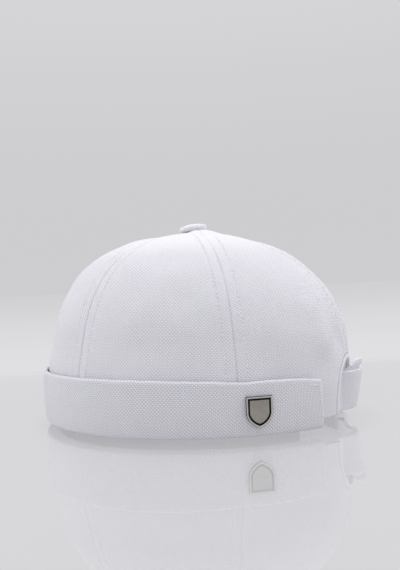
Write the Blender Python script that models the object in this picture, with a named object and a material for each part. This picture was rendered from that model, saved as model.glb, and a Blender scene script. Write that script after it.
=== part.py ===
"""Docker cap of white cotton canvas, without a peak: six sewn crown panels, a turned-up cuff, a bound
arch opening with an adjusting strap at the back, a covered button on top and a metal badge on the cuff.

The cap stands on the lower fold of its cuff, at z = 0. Its front faces -Y and the wearer's left is +X.
Angles round the cap start at the front (0) and pass the wearer's left (90) to the back (180).
Sizes are in metres, written as millimetres times MM.
"""

import math

import bmesh
import bpy
from mathutils import Vector

MM = 0.001
GAP = 0.3 * MM

# Head oval: the cuff's outer face at the table, for a head of about 58 cm
HALF_LENGTH = 101.2 * MM
HALF_WIDTH = 84.6 * MM
REAR_TAPER = 0.141
OVAL_CENTRE_Y = -0.8 * MM

# Cuff: double canvas, turned under the crown's hem and up again on the outside
CUFF_CLOTH = 2.4 * MM
CUFF_TURN = 3.0 * MM
CUFF_LEAN = 2.1 * MM
CUFF_END = 150.8
CUFF_FOOT_ROUND = 1.3 * MM
CUFF_FOLD_ROUND = CUFF_CLOTH / 2.0
CUFF_INNER_TOP = 11.0 * MM
CUFF_INNER_ROOM = 0.6 * MM
CUFF_TABLE = (
    # angle from the front in degrees, height of the outer leg's fold in millimetres
    (0.0, 31.0),
    (110.0, 31.2),
    (123.5, 29.9),
    (131.0, 30.1),
    (140.0, 29.5),
    (150.8, 27.9),
)

# Crown: single canvas, from its hem inside the cuff to the button
CROWN_CLOTH = 1.4 * MM
CROWN_HEM = 3.4 * MM
CROWN_HEIGHT = 116.5 * MM
CROWN_TOP_HOLE = 0.04
CROWN_INSET = CUFF_CLOTH + GAP
CROWN_RISE_AT_HEM = math.asin(CROWN_HEM / CROWN_HEIGHT)
# Exponents of the profile's superellipse, upwards and across
FRONT_ROUNDNESS = (3.14, 2.65)
BACK_ROUNDNESS = (3.8, 1.66)
# The panels swell and sink between the cuff and the button, and fall in folds beside the button
PUFF = 1.3 * MM
PUFF_HEIGHTS = (26.0 * MM, 60.0 * MM)
PUFF_SCALES = (0.08, 0.4)
DENT_HEIGHTS = (30.0 * MM, 42.0 * MM)
PANELS = (
    # name, angle of the seam where it starts, angle of the seam where it ends
    ("panel_front_left", 0.0, 65.5),
    ("panel_side_left", 65.5, 120.3),
    ("panel_back_left", 120.3, 180.0),
    ("panel_back_right", 180.0, 239.7),
    ("panel_side_right", 239.7, 294.5),
    ("panel_front_right", 294.5, 360.0),
)
DENTS = (
    # angle, height in mm, reach in mm, depth in mm (negative where the cloth bulges)
    (147.0, 64.0, 17.0, 1.5),
    (157.5, 54.0, 12.0, -1.3),
    (170.0, 49.0, 12.0, 1.2),
    (131.0, 86.0, 20.0, 1.0),
    (84.0, 78.0, 24.0, 0.9),
    (24.0, 62.0, 22.0, 1.1),
    (204.0, 50.0, 13.0, -1.9),
    (262.0, 72.0, 22.0, 0.9),
    (330.0, 70.0, 22.0, 1.0),
    (20.0, 99.0, 26.0, 1.9),
)
TOP_DENTS = (
    # angle, distance from the axis in mm, reach in mm, depth in mm (negative where the cloth bulges)
    (32.0, 26.0, 14.0, 1.9),
    (26.0, 44.0, 14.0, 1.0),
    (200.0, 36.0, 15.0, 1.7),
    (196.0, 64.0, 14.0, -1.3),
    (122.0, 15.0, 5.5, -1.7),
    (150.0, 16.0, 6.0, -1.8),
)

# Arch opening at the back, bound with a narrow tape
ARCH_HALF_WIDTH = 20.0 * MM
ARCH_HEIGHT = 36.5 * MM
ARCH_SQUARENESS = 2.3
ARCH_CUTTER_REACH = 10.0 * MM
BINDING_WIDTH = 2.6 * MM
BINDING_PROUD = 0.4 * MM
BINDING_ROUND = 0.6 * MM

# Strap in two tabs, sewn inside the opening's edges and fastened on each other
STRAP_CLOTH = 1.8 * MM
STRAP_LOW = 5.7 * MM
STRAP_HIGH = 27.5 * MM
STRAP_LEAN = 0.11
STRAP_LEAN_STAND = 4.0 * MM
STRAP_CORNER = 6.0 * MM
STRAP_BLUNT = 0.5 * MM
OUTER_TAB = (
    # angle, distance of the outer face from the crown's outer face in mm
    (154.0, -2.3),
    (160.0, -2.5),
    (165.5, -2.7),
    (169.5, -2.7),
    (171.5, -2.4),
    (174.0, 0.0),
    (177.0, 3.1),
    (180.0, 4.9),
    (185.0, 6.3),
    (190.0, 6.5),
    (195.0, 6.0),
    (199.0, 5.2),
)
INNER_TAB = (
    # angle, distance of the outer face from the crown's outer face in mm, top edge in mm
    (178.0, 1.5, 33.0),
    (180.0, 2.6, 33.5),
    (183.0, 3.6, 33.5),
    (185.5, 3.8, 31.5),
    (187.5, 2.9, 25.0),
    (189.5, 0.6, 21.5),
    (191.5, -2.0, 20.5),
    (193.5, -2.8, 20.5),
    (200.0, -2.6, 22.0),
    (206.0, -2.3, 22.0),
)

# Covered button on top
BUTTON_RADIUS = 9.0 * MM
BUTTON_HEIGHT = 5.6 * MM
BUTTON_SEAT = 5.0 * MM
BUTTON_EDGE = 1.8 * MM

# Shield badge on the cuff's left side
BADGE_ANGLE = 126.4
BADGE_MIDDLE = 13.8 * MM
BADGE_WIDTH = 14.6 * MM
BADGE_HEIGHT = 17.0 * MM
BADGE_THICKNESS = 1.7 * MM
BADGE_RIM = 1.1 * MM
BADGE_GROOVE = 0.6 * MM
BADGE_GROOVE_DEPTH = 0.4 * MM
BADGE_EASE = 0.3 * MM
BADGE_WAIST = -0.06
BADGE_CURVE = 2.3
BADGE_POINT_INSET = 1.25

# How finely each piece is divided
PANEL_COLUMNS = 10
PANEL_ROWS = 17
CUFF_STEPS = 68
BINDING_STEPS = 26
STRAP_COLUMNS = 20
STRAP_ROWS = 6
BUTTON_SIDES = 32
BUTTON_RINGS = 7
BADGE_STEPS = 8

# name: colour, roughness, metallic
FINISHES = {
    "canvas": ((0.86, 0.86, 0.88, 1.0), 0.85, 0.0),
    "binding_tape": ((0.84, 0.84, 0.86, 1.0), 0.75, 0.0),
    "pewter": ((0.42, 0.41, 0.38, 1.0), 0.38, 1.0),
}


def clear_scene():
    for thing in list(bpy.data.objects):
        bpy.data.objects.remove(thing, do_unlink=True)


def finish(name):
    """Return the named material, made the first time that it is asked for."""
    material = bpy.data.materials.get(name)
    if material is None:
        colour, roughness, metallic = FINISHES[name]
        material = bpy.data.materials.new(name)
        material.use_nodes = True
        shader = material.node_tree.nodes["Principled BSDF"]
        shader.inputs["Base Color"].default_value = colour
        shader.inputs["Roughness"].default_value = roughness
        shader.inputs["Metallic"].default_value = metallic
    return material


def add_object(name, mesh_maker, material_name):
    """Make one object from a filled bmesh."""
    mesh = bpy.data.meshes.new(name)
    mesh_maker.to_mesh(mesh)
    mesh_maker.free()
    mesh.shade_smooth()
    mesh.set_sharp_from_angle(angle=math.radians(40.0))
    mesh.materials.append(finish(material_name))
    made = bpy.data.objects.new(name, mesh)
    made.location.y = OVAL_CENTRE_Y
    bpy.context.collection.objects.link(made)
    return made


def add_sheet(name, rows, thickness, material_name):
    """Make a cloth sheet whose outer face is the grid of rows, and thicken it inwards."""
    maker = bmesh.new()
    grid = [[maker.verts.new(point) for point in row] for row in rows]
    for low, high in zip(grid, grid[1:]):
        for i in range(len(low) - 1):
            maker.faces.new((low[i], low[i + 1], high[i + 1], high[i]))
    made = add_object(name, maker, material_name)
    wall = made.modifiers.new("wall", "SOLIDIFY")
    wall.thickness = thickness
    wall.offset = -1.0
    wall.use_even_offset = True
    wall.use_quality_normals = True
    return made


def add_swept(name, sections, material_name):
    """Make a closed solid through a row of sections, each a loop of points, with a cap at each end."""
    maker = bmesh.new()
    loops = [[maker.verts.new(point) for point in section] for section in sections]
    count = len(loops[0])
    for here, there in zip(loops, loops[1:]):
        for i in range(count):
            j = (i + 1) % count
            maker.faces.new((here[i], here[j], there[j], there[i]))
    caps = [maker.faces.new(loops[0]), maker.faces.new(loops[-1])]
    # A hollow outline a few millimetres across is only cut into triangles correctly when enlarged
    bmesh.ops.scale(maker, vec=(1.0 / MM, 1.0 / MM, 1.0 / MM), verts=maker.verts)
    bmesh.ops.triangulate(maker, faces=caps)
    bmesh.ops.scale(maker, vec=(MM, MM, MM), verts=maker.verts)
    bmesh.ops.recalc_face_normals(maker, faces=maker.faces)
    return add_object(name, maker, material_name)


def smooth_step(low, high, value):
    share = min(max((value - low) / (high - low), 0.0), 1.0)
    return share * share * (3.0 - 2.0 * share)


def read_table(table, angle, column=1):
    """Read a column of a table at an angle, on a curve that passes through its rows smoothly."""
    if angle <= table[0][0]:
        return table[0][column]
    if angle >= table[-1][0]:
        return table[-1][column]
    last = len(table) - 1
    i = max(k for k in range(last) if table[k][0] <= angle)
    rows = [table[max(i - 1, 0)], table[i], table[i + 1], table[min(i + 2, last)]]
    angles = [row[0] for row in rows]
    values = [row[column] for row in rows]
    share = (angle - angles[1]) / (angles[2] - angles[1])
    span = angles[2] - angles[1]
    slope_in = (values[2] - values[0]) / max(angles[2] - angles[0], 1e-9) * span
    slope_out = (values[3] - values[1]) / max(angles[3] - angles[1], 1e-9) * span
    return (
        values[1] * (2.0 * share**3 - 3.0 * share**2 + 1.0)
        + slope_in * (share**3 - 2.0 * share**2 + share)
        + values[2] * (3.0 * share**2 - 2.0 * share**3)
        + slope_out * (share**3 - share**2)
    )


def oval_point(angle, out=0.0):
    """Point of the head oval at an angle in degrees, moved outwards by out."""
    t = math.radians(angle)
    taper = 1.0 + REAR_TAPER * math.cos(t)
    x = HALF_WIDTH * math.sin(t) * taper
    y = -HALF_LENGTH * math.cos(t)
    along_x = HALF_WIDTH * (math.cos(t) * taper - REAR_TAPER * math.sin(t) ** 2)
    along_y = HALF_LENGTH * math.sin(t)
    length = math.hypot(along_x, along_y)
    return Vector((x + out * along_y / length, y - out * along_x / length, 0.0))


def roundness(angle):
    """The two exponents of the crown's profile at an angle, between those of its front and its back."""
    frontness = (1.0 + math.cos(math.radians(angle))) / 2.0
    return [
        front * frontness + back * (1.0 - frontness)
        for front, back in zip(FRONT_ROUNDNESS, BACK_ROUNDNESS)
    ]


def top_rise(angle):
    """The rise at which the crown has closed in to the small hole under the button."""
    up, across = roundness(angle)
    return math.asin((1.0 - CROWN_TOP_HOLE**across) ** (1.0 / up))


def panel_share(angle):
    """How far an angle lies across its panel, from -1 at one seam to 1 at the other."""
    angle = angle % 360.0
    for _, start, end in PANELS:
        if start <= angle <= end:
            return 2.0 * (angle - start) / (end - start) - 1.0
    return 1.0


def crown_skin(angle, rise):
    """Point of the crown's outer face; rise is in radians, 0 at the table and a quarter turn on top."""
    up, across = roundness(angle)
    height = CROWN_HEIGHT * math.sin(max(rise, 0.0))
    scale = max(1.0 - math.sin(max(rise, 0.0)) ** up, 0.0) ** (1.0 / across)
    base = oval_point(angle, -CROWN_INSET)
    swell = smooth_step(*PUFF_HEIGHTS, height) * smooth_step(*PUFF_SCALES, scale)
    push = PUFF * swell * (1.0 - abs(panel_share(angle)) ** 3)
    for dent_angle, dent_height, reach, depth in DENTS:
        aside = base.length * scale * math.radians(angle % 360.0 - dent_angle)
        away = math.hypot(aside, height - dent_height * MM) / (reach * MM)
        sunk = depth * MM * math.exp(-away * away) * smooth_step(*DENT_HEIGHTS, height)
        push -= sunk * smooth_step(*PUFF_SCALES, scale)
    outwards = base.normalized()
    tilt = math.sin(rise) ** 4
    point = base * scale + Vector((0.0, 0.0, height))
    point += outwards * push * (1.0 - tilt) + Vector((0.0, 0.0, push * tilt))
    for dent_angle, from_axis, reach, depth in TOP_DENTS:
        turn = math.radians(dent_angle)
        aside = point.x - from_axis * MM * math.sin(turn)
        along = point.y + from_axis * MM * math.cos(turn)
        away = math.hypot(aside, along) / (reach * MM)
        point.z -= depth * MM * math.exp(-away * away) * tilt
    return point


def crown_point(angle, rise, out=0.0):
    """Point of the crown at a distance out from its outer face, along that face's normal."""
    step = 1e-3
    turn = crown_skin(angle + math.degrees(step), rise) - crown_skin(angle - math.degrees(step), rise)
    climb = crown_skin(angle, rise + step) - crown_skin(angle, max(rise - step, 0.0))
    return crown_skin(angle, rise) + turn.cross(climb).normalized() * out


def angle_at(x, rise):
    """Angle near the back at which the crown's outer face has the given x."""
    low, high = 120.0, 240.0
    for _ in range(40):
        middle = (low + high) / 2.0
        if crown_skin(middle, rise).x > x:
            low = middle
        else:
            high = middle
    return (low + high) / 2.0


def panel_rows(start, end):
    """Grid of a crown panel's outer face, held half a gap back from the seams on both sides."""
    rows = []
    for j in range(PANEL_ROWS + 1):
        share = j / PANEL_ROWS
        middle_rise = top_rise((start + end) / 2.0) * share
        width = (crown_skin(end, middle_rise) - crown_skin(start, middle_rise)).length
        margin = 0.5 * GAP / width
        row = []
        for i in range(PANEL_COLUMNS + 1):
            across = margin + (1.0 - 2.0 * margin) * i / PANEL_COLUMNS
            angle = start + (end - start) * across
            reach = (top_rise(angle) - CROWN_RISE_AT_HEM) * share
            row.append(crown_skin(angle, CROWN_RISE_AT_HEM + reach))
        rows.append(row)
    return rows


def arch_edge(turn, inset, out):
    """Point of the arch opening's edge, moved into the opening by inset and outwards by out.

    turn runs from -1 at the hem on the wearer's left, over the top at 0, to 1 at the hem on the right.
    """
    wide = ARCH_HALF_WIDTH - inset
    tall = ARCH_HEIGHT - inset
    t = turn * math.pi / 2.0
    power = 2.0 / ARCH_SQUARENESS
    x = -math.copysign(wide * abs(math.sin(t)) ** power, turn)
    height = max(tall * max(math.cos(t), 0.0) ** power, CROWN_HEM)
    rise = math.asin(height / CROWN_HEIGHT)
    return crown_point(angle_at(x, rise), rise, out)


def build_crown():
    """Six panels of canvas; the two at the back are cut out round the arch opening."""
    cutter = build_arch_cutter()
    for name, start, end in PANELS:
        panel = add_sheet(name, panel_rows(start, end), CROWN_CLOTH, "canvas")
        if "back" in name:
            cut = panel.modifiers.new("arch", "BOOLEAN")
            cut.operation = "DIFFERENCE"
            cut.solver = "EXACT"
            cut.object = cutter


def build_arch_cutter():
    """The solid that cuts the arch opening, a gap wider all round than the binding that fills its edge."""
    below = Vector((0.0, 0.0, -ARCH_CUTTER_REACH))
    turns = [-1.0 + 2.0 * i / BINDING_STEPS for i in range(BINDING_STEPS + 1)]
    sections = []
    for out in (ARCH_CUTTER_REACH, -CROWN_CLOTH - ARCH_CUTTER_REACH / 2.0):
        edge = [arch_edge(turn, -GAP, out) for turn in turns]
        sections.append([edge[0] + below] + edge + [edge[-1] + below])
    cutter = add_swept("arch_cutter", sections, "canvas")
    cutter.hide_render = True
    cutter.display_type = "WIRE"
    return cutter


def build_binding():
    """Tape round the arch opening's edge, a little proud of the canvas on both sides."""
    outside = BINDING_PROUD
    inside = -CROWN_CLOTH - BINDING_PROUD
    corners = (
        # inset into the opening, distance out from the crown's outer face
        (0.0, outside),
        (BINDING_WIDTH - BINDING_ROUND, outside),
        (BINDING_WIDTH, outside - BINDING_ROUND),
        (BINDING_WIDTH, inside + BINDING_ROUND),
        (BINDING_WIDTH - BINDING_ROUND, inside),
        (0.0, inside),
    )
    sections = []
    for i in range(BINDING_STEPS + 1):
        turn = -1.0 + 2.0 * i / BINDING_STEPS
        sections.append([arch_edge(turn, inset, out) for inset, out in corners])
    add_swept("opening_binding", sections, "binding_tape")


def cuff_section(angle):
    """Section of the cuff: up its outer face, over the fold and down, under the hem and up inside."""
    top = read_table(CUFF_TABLE, angle if angle <= 180.0 else 360.0 - angle) * MM
    lean = CUFF_LEAN / (CUFF_TABLE[0][1] * MM)
    foot = CUFF_FOOT_ROUND
    fold = CUFF_FOLD_ROUND
    eased = 1.0 - math.cos(math.radians(45.0))
    outer = lean * top
    inner = -CROWN_INSET - CROWN_CLOTH - CUFF_INNER_ROOM
    innermost = inner - CUFF_CLOTH
    corners = [
        # distance out from the head oval, height
        (-foot, 0.0),
        (-eased * foot, eased * foot),
        (0.0, foot),
        (outer / 2.0, top / 2.0),
        (outer, top - fold),
        (outer - eased * fold, top - eased * fold),
        (outer - fold, top),
        (outer - CUFF_CLOTH + eased * fold, top - eased * fold),
        (outer - CUFF_CLOTH, top - fold),
        (outer / 2.0 - CUFF_CLOTH, top / 2.0),
        (-CUFF_CLOTH, CUFF_TURN),
        (inner, CUFF_TURN),
        (inner, CUFF_INNER_TOP - eased * fold),
        (inner - fold, CUFF_INNER_TOP),
        (innermost, CUFF_INNER_TOP - eased * fold),
        (innermost, foot),
        (innermost + foot, 0.0),
    ]
    return [oval_point(angle, out) + Vector((0.0, 0.0, height)) for out, height in corners]


def build_cuff():
    angles = [CUFF_END * (2.0 * i / CUFF_STEPS - 1.0) for i in range(CUFF_STEPS + 1)]
    add_swept("cuff", [cuff_section(angle % 360.0) for angle in angles], "canvas")


def strap_lean(angle, height):
    """How far both tabs lean outwards at a height, where they stand free of the crown."""
    free = smooth_step(0.0, STRAP_LEAN_STAND, read_table(OUTER_TAB, angle) * MM)
    return STRAP_LEAN * (height - (STRAP_LOW + STRAP_HIGH) / 2.0) * free


def tab_rows(table, free_end, high_at):
    """Grid of a strap tab's outer face, its corners rounded at the free end."""
    first, last = table[0][0], table[-1][0]
    rows = [[] for _ in range(STRAP_ROWS + 1)]
    for i in range(STRAP_COLUMNS + 1):
        angle = first + (last - first) * i / STRAP_COLUMNS
        stand = read_table(table, angle) * MM
        from_end = (oval_point(angle) - oval_point(free_end)).length + STRAP_BLUNT
        into_corner = max(STRAP_CORNER - from_end, 0.0)
        corner = STRAP_CORNER - math.sqrt(STRAP_CORNER**2 - into_corner**2)
        bottom = STRAP_LOW + corner
        top = high_at(angle) - corner
        for j in range(STRAP_ROWS + 1):
            height = bottom + (top - bottom) * j / STRAP_ROWS
            rise = math.asin(height / CROWN_HEIGHT)
            rows[j].append(crown_point(angle, rise, stand + strap_lean(angle, height)))
    return rows


def build_strap():
    """Two tabs of the same canvas: one from the wearer's left, over one from the right."""
    outer = tab_rows(OUTER_TAB, OUTER_TAB[-1][0], lambda angle: STRAP_HIGH)
    inner = tab_rows(INNER_TAB, INNER_TAB[0][0], lambda angle: read_table(INNER_TAB, angle, 2) * MM)
    add_sheet("strap_outer", outer, STRAP_CLOTH, "canvas")
    add_sheet("strap_inner", inner, STRAP_CLOTH, "canvas")


def build_button():
    """Round button covered with canvas: a shallow dome over a curled lip, turned about the cap's axis."""
    base = CROWN_HEIGHT + GAP
    profile = [
        # distance from the axis, height
        (0.0, base),
        (BUTTON_SEAT, base),
        (BUTTON_RADIUS, base + BUTTON_EDGE),
    ]
    for i in range(1, BUTTON_RINGS):
        turn = math.pi / 2.0 * i / BUTTON_RINGS
        dome = (BUTTON_HEIGHT - BUTTON_EDGE) * math.sin(turn)
        profile.append((BUTTON_RADIUS * math.cos(turn), base + BUTTON_EDGE + dome))
    profile.append((0.0, base + BUTTON_HEIGHT))
    maker = bmesh.new()
    line = [maker.verts.new((radius, 0.0, height)) for radius, height in profile]
    edges = [maker.edges.new(pair) for pair in zip(line, line[1:])]
    bmesh.ops.spin(
        maker,
        geom=line + edges,
        cent=(0, 0, 0),
        axis=(0, 0, 1),
        angle=2.0 * math.pi,
        steps=BUTTON_SIDES,
    )
    bmesh.ops.remove_doubles(maker, verts=maker.verts, dist=1e-6)
    bmesh.ops.recalc_face_normals(maker, faces=maker.faces)
    add_object("top_button", maker, "canvas")


def shield_outline(inset):
    """Outline of the badge: flat top, straight sides, then curving in to a point below."""
    half = BADGE_WIDTH / 2.0 - inset
    top = BADGE_HEIGHT / 2.0 - inset
    waist = BADGE_WAIST * BADGE_HEIGHT
    point = -BADGE_HEIGHT / 2.0 + BADGE_POINT_INSET * inset
    outline = [(-half, top), (half, top), (half, waist)]
    for i in range(1, BADGE_STEPS):
        share = i / BADGE_STEPS
        outline.append((half * (1.0 - share**BADGE_CURVE), waist + (point - waist) * share))
    outline.append((0.0, point))
    return outline + [(-x, y) for x, y in reversed(outline[2:-1])]


def build_badge():
    """Cast badge: a flat shield with a groove inside its rim, its corners eased at the front."""
    middle = oval_point(BADGE_ANGLE, CUFF_LEAN * BADGE_MIDDLE / (CUFF_TABLE[0][1] * MM))
    middle.z = BADGE_MIDDLE
    across = (oval_point(BADGE_ANGLE + 0.1) - oval_point(BADGE_ANGLE - 0.1)).normalized()
    slope = math.atan2(CUFF_LEAN, CUFF_TABLE[0][1] * MM)
    flat_out = across.cross(Vector((0.0, 0.0, 1.0)))
    up = Vector((0.0, 0.0, 1.0)) * math.cos(slope) + flat_out * math.sin(slope)
    out = across.cross(up)
    rings = (
        # inset of the outline, height over the badge's back
        (0.0, 0.0),
        (0.0, BADGE_THICKNESS - BADGE_EASE),
        (BADGE_EASE, BADGE_THICKNESS),
        (BADGE_RIM, BADGE_THICKNESS),
        (BADGE_RIM, BADGE_THICKNESS - BADGE_GROOVE_DEPTH),
        (BADGE_RIM + BADGE_GROOVE, BADGE_THICKNESS - BADGE_GROOVE_DEPTH),
        (BADGE_RIM + BADGE_GROOVE, BADGE_THICKNESS),
    )
    sections = []
    for inset, height in rings:
        away = out * (height + GAP)
        sections.append([middle + across * x + up * y + away for x, y in shield_outline(inset)])
    add_swept("badge", sections, "pewter")


def build_cap():
    clear_scene()
    build_crown()
    build_binding()
    build_cuff()
    build_strap()
    build_button()
    build_badge()


build_cap()
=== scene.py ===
"""A docker cap of white cotton canvas on a glossy pale table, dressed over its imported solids.

The cap's front faces -Y, the wearer's left is +X, and angles round it are in degrees from the front.
"""

import math

import bmesh
import bpy
import numpy as np
from mathutils import Matrix, Vector, noise


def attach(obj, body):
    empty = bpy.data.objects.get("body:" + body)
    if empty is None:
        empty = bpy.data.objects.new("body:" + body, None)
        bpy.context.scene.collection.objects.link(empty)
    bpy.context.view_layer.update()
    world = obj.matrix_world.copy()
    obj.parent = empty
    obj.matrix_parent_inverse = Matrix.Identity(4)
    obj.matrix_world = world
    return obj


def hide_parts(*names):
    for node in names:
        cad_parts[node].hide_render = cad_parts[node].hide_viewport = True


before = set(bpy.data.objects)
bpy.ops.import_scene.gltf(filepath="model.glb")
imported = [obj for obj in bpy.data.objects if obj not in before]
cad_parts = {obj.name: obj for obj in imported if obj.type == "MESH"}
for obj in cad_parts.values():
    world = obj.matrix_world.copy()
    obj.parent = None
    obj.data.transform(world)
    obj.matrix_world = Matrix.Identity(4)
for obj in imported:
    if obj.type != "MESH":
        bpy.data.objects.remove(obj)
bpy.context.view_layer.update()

# The head oval
# Everything on the cap is drafted from the oval of the cuff's outer face at the table, for a head of
# about 58 cm. It is a little narrower at the back than at the front.
MM = 0.001
HALF_LENGTH = 101.2 * MM
HALF_WIDTH = 84.6 * MM
REAR_TAPER = 0.141
OVAL_CENTRE_Y = -0.8 * MM


def oval(angle, out=0.0):
    """Points of the head oval at angles in degrees, moved outwards by out, as an array of rows."""
    t = np.radians(angle)
    taper = 1.0 + REAR_TAPER * np.cos(t)
    along_x = HALF_WIDTH * (np.cos(t) * taper - REAR_TAPER * np.sin(t) ** 2)
    along_y = HALF_LENGTH * np.sin(t)
    length = np.hypot(along_x, along_y)
    x = HALF_WIDTH * np.sin(t) * taper + out * along_y / length
    y = OVAL_CENTRE_Y - HALF_LENGTH * np.cos(t) - out * along_x / length
    return np.stack([x, y, np.zeros_like(x)], axis=-1)


# Crown panels
# Six gores of white cotton canvas, cut on the straight grain, that swell a little between their seams.
# Each seam is turned in, its allowances pressed open and topstitched flat on both sides.
CROWN_CLOTH = 1.4 * MM
CROWN_HEM = 4.2 * MM
CROWN_HEIGHT = 116.5 * MM
CROWN_INSET = 2.7 * MM
CROWN_TOP_HOLE = 0.04
FRONT_ROUNDNESS = (3.14, 2.65)
BACK_ROUNDNESS = (3.8, 1.66)
PUFF = 1.3 * MM
FLARE = 1.8 * MM
FLARE_ENDS = (116.0, 142.0)
PANELS = (
    # name, angle of the seam where it starts, angle of the seam where it ends
    ("panel_front_left", 0.0, 65.5),
    ("panel_side_left", 65.5, 120.3),
    ("panel_back_left", 120.3, 180.0),
    ("panel_back_right", 180.0, 239.7),
    ("panel_side_right", 239.7, 294.5),
    ("panel_front_right", 294.5, 360.0),
)
DENTS = (
    # angle, height in mm, reach in mm, depth in mm (negative where the cloth bulges)
    (147.0, 64.0, 17.0, 1.5),
    (157.5, 48.5, 11.0, -1.7),
    (170.0, 49.0, 12.0, 1.2),
    (131.0, 86.0, 20.0, 1.0),
    (84.0, 78.0, 24.0, 0.9),
    (24.0, 62.0, 22.0, 1.1),
    (204.0, 50.0, 13.0, -1.9),
    (262.0, 72.0, 22.0, 0.9),
    (330.0, 70.0, 22.0, 1.0),
    (20.0, 99.0, 26.0, 1.9),
)
TOP_DENTS = (
    # angle, distance from the axis in mm, reach in mm, depth in mm (negative where the cloth bulges)
    (32.0, 26.0, 14.0, 1.9),
    (26.0, 44.0, 14.0, 1.0),
    (200.0, 36.0, 15.0, 1.7),
    (196.0, 64.0, 14.0, -1.3),
    (122.0, 15.0, 5.5, -1.7),
    (150.0, 16.0, 6.0, -1.8),
)
# Relief beside a seam: the crease, the raised band over the allowance, and the pull of its stitching.
# A seam map holds the distance from the seam and the run along it. Runs begin at RUN_START, because
# cloth without the map reads 0 there.
CREASE_DEPTH = 0.5 * MM
CREASE_WIDTH = 0.5 * MM
ALLOWANCE = 6.0 * MM
ALLOWANCE_RISE = 0.13 * MM
STITCH_PULL = 0.13 * MM
STITCH_PULL_WIDTH = 0.7 * MM
STITCH_PITCH = 2.5 * MM
RUN_START = 1.0
PUCKER = 0.162 * MM
PUCKER_PITCH = 2.6 * MM
WANDER = 0.5 * MM
WANDER_SIZE = 21.0 * MM
# Heights between which the puff, the flare and the dents begin, and the flare ends again
PUFF_BEGINS = (26.0 * MM, 60.0 * MM)
FLARE_BEGINS = (8.0 * MM, 29.0 * MM)
FLARE_FADES = (30.0 * MM, 54.0 * MM)
DENTS_BEGIN = (30.0 * MM, 42.0 * MM)
# Shares of the oval's size between which the puff and the dents end near the button
NEAR_BUTTON = (0.08, 0.4)
EDGE_COLUMNS = (0.0, 0.15, 0.3, 0.45, 0.65, 0.95, 1.5, 2.4, 3.4, 4.4, 5.2, 5.7, 6.1, 6.5, 7.0, 7.8, 9.0)
INNER_COLUMNS = 46
PANEL_ROWS = 124


def smooth_step(low, high, value):
    share = np.clip((value - low) / (high - low), 0.0, 1.0)
    return share * share * (3.0 - 2.0 * share)


def nearness(distance, reach):
    """1 at no distance, falling off smoothly over the reach."""
    return np.exp(-((distance / reach) ** 2))


def unit(rows):
    return rows / np.linalg.norm(rows, axis=-1, keepdims=True)


def roundness(angle):
    frontness = (1.0 + np.cos(np.radians(angle))) / 2.0
    return [
        front * frontness + back * (1.0 - frontness)
        for front, back in zip(FRONT_ROUNDNESS, BACK_ROUNDNESS)
    ]


def rises(angle, share):
    """Rises at shares of the way from the hem up to the small hole under the button."""
    up, across = roundness(angle)
    hem = math.asin(CROWN_HEM / CROWN_HEIGHT)
    top = np.arcsin((1.0 - CROWN_TOP_HOLE**across) ** (1.0 / up))
    return hem + (top - hem) * share


def panel_share(angle):
    """How far an angle lies across its panel, from -1 at one seam to 1 at the other."""
    angle = angle % 360.0
    share = np.ones_like(angle)
    for _, start, end in PANELS:
        inside = (angle >= start) & (angle <= end)
        share = np.where(inside, 2.0 * (angle - start) / (end - start) - 1.0, share)
    return share


def crown_skin(angle, rise):
    """Points of the crown's outer face; rise is in radians, 0 at the table and a quarter turn on top."""
    angle, rise = np.broadcast_arrays(np.asarray(angle, float), np.maximum(rise, 0.0))
    up, across = roundness(angle)
    height = CROWN_HEIGHT * np.sin(rise)
    scale = np.maximum(1.0 - np.sin(rise) ** up, 0.0) ** (1.0 / across)
    base = oval(angle, -CROWN_INSET)
    base[..., 1] -= OVAL_CENTRE_Y
    radius = np.hypot(base[..., 0], base[..., 1])
    clear_of_button = smooth_step(*NEAR_BUTTON, scale)
    push = PUFF * smooth_step(*PUFF_BEGINS, height) * clear_of_button
    push = push * (1.0 - np.abs(panel_share(angle)) ** 3)
    # The cuff's upper fold draws the cloth out to it, except at the back
    drawn_out = smooth_step(*FLARE_BEGINS, height) * (1.0 - smooth_step(*FLARE_FADES, height))
    from_front = np.abs((angle + 180.0) % 360.0 - 180.0)
    push = push + FLARE * drawn_out * (1.0 - smooth_step(*FLARE_ENDS, from_front))
    for dent_angle, dent_height, reach, depth in DENTS:
        aside = radius * scale * np.radians(angle % 360.0 - dent_angle)
        away = np.hypot(aside, height - dent_height * MM)
        sunk = depth * MM * nearness(away, reach * MM) * smooth_step(*DENTS_BEGIN, height)
        push = push - sunk * clear_of_button
    tilt = np.sin(rise) ** 4
    point = base * (scale + push * (1.0 - tilt) / radius)[..., None]
    point[..., 1] += OVAL_CENTRE_Y
    point[..., 2] = height + push * tilt
    for dent_angle, from_axis, reach, depth in TOP_DENTS:
        turn = math.radians(dent_angle)
        x, y = from_axis * MM * math.sin(turn), OVAL_CENTRE_Y - from_axis * MM * math.cos(turn)
        away = np.hypot(point[..., 0] - x, point[..., 1] - y)
        point[..., 2] -= depth * MM * nearness(away, reach * MM) * tilt
    return point


def crown_normal(angle, rise):
    step = 1e-3
    turn = crown_skin(angle + math.degrees(step), rise) - crown_skin(angle - math.degrees(step), rise)
    climb = crown_skin(angle, rise + step) - crown_skin(angle, np.maximum(rise - step, 0.0))
    return unit(np.cross(turn, climb))


def running_length(points):
    """Distance travelled along rows of points, from each row's first point."""
    steps = np.linalg.norm(np.diff(points, axis=-2), axis=-1)
    return np.concatenate([np.zeros(steps.shape[:-1] + (1,)), np.cumsum(steps, axis=-1)], axis=-1)


def wander(points, size, seed):
    """A slow, even wandering over the points, from about -1 to 1, with hills about size apart."""
    places = points.reshape(-1, 3) / size + seed * 17.3
    values = np.array([noise.noise(Vector(place)) for place in places])
    # The noise itself keeps to about 0.6 either way
    return values.reshape(points.shape[:-1]) * 1.6


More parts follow.
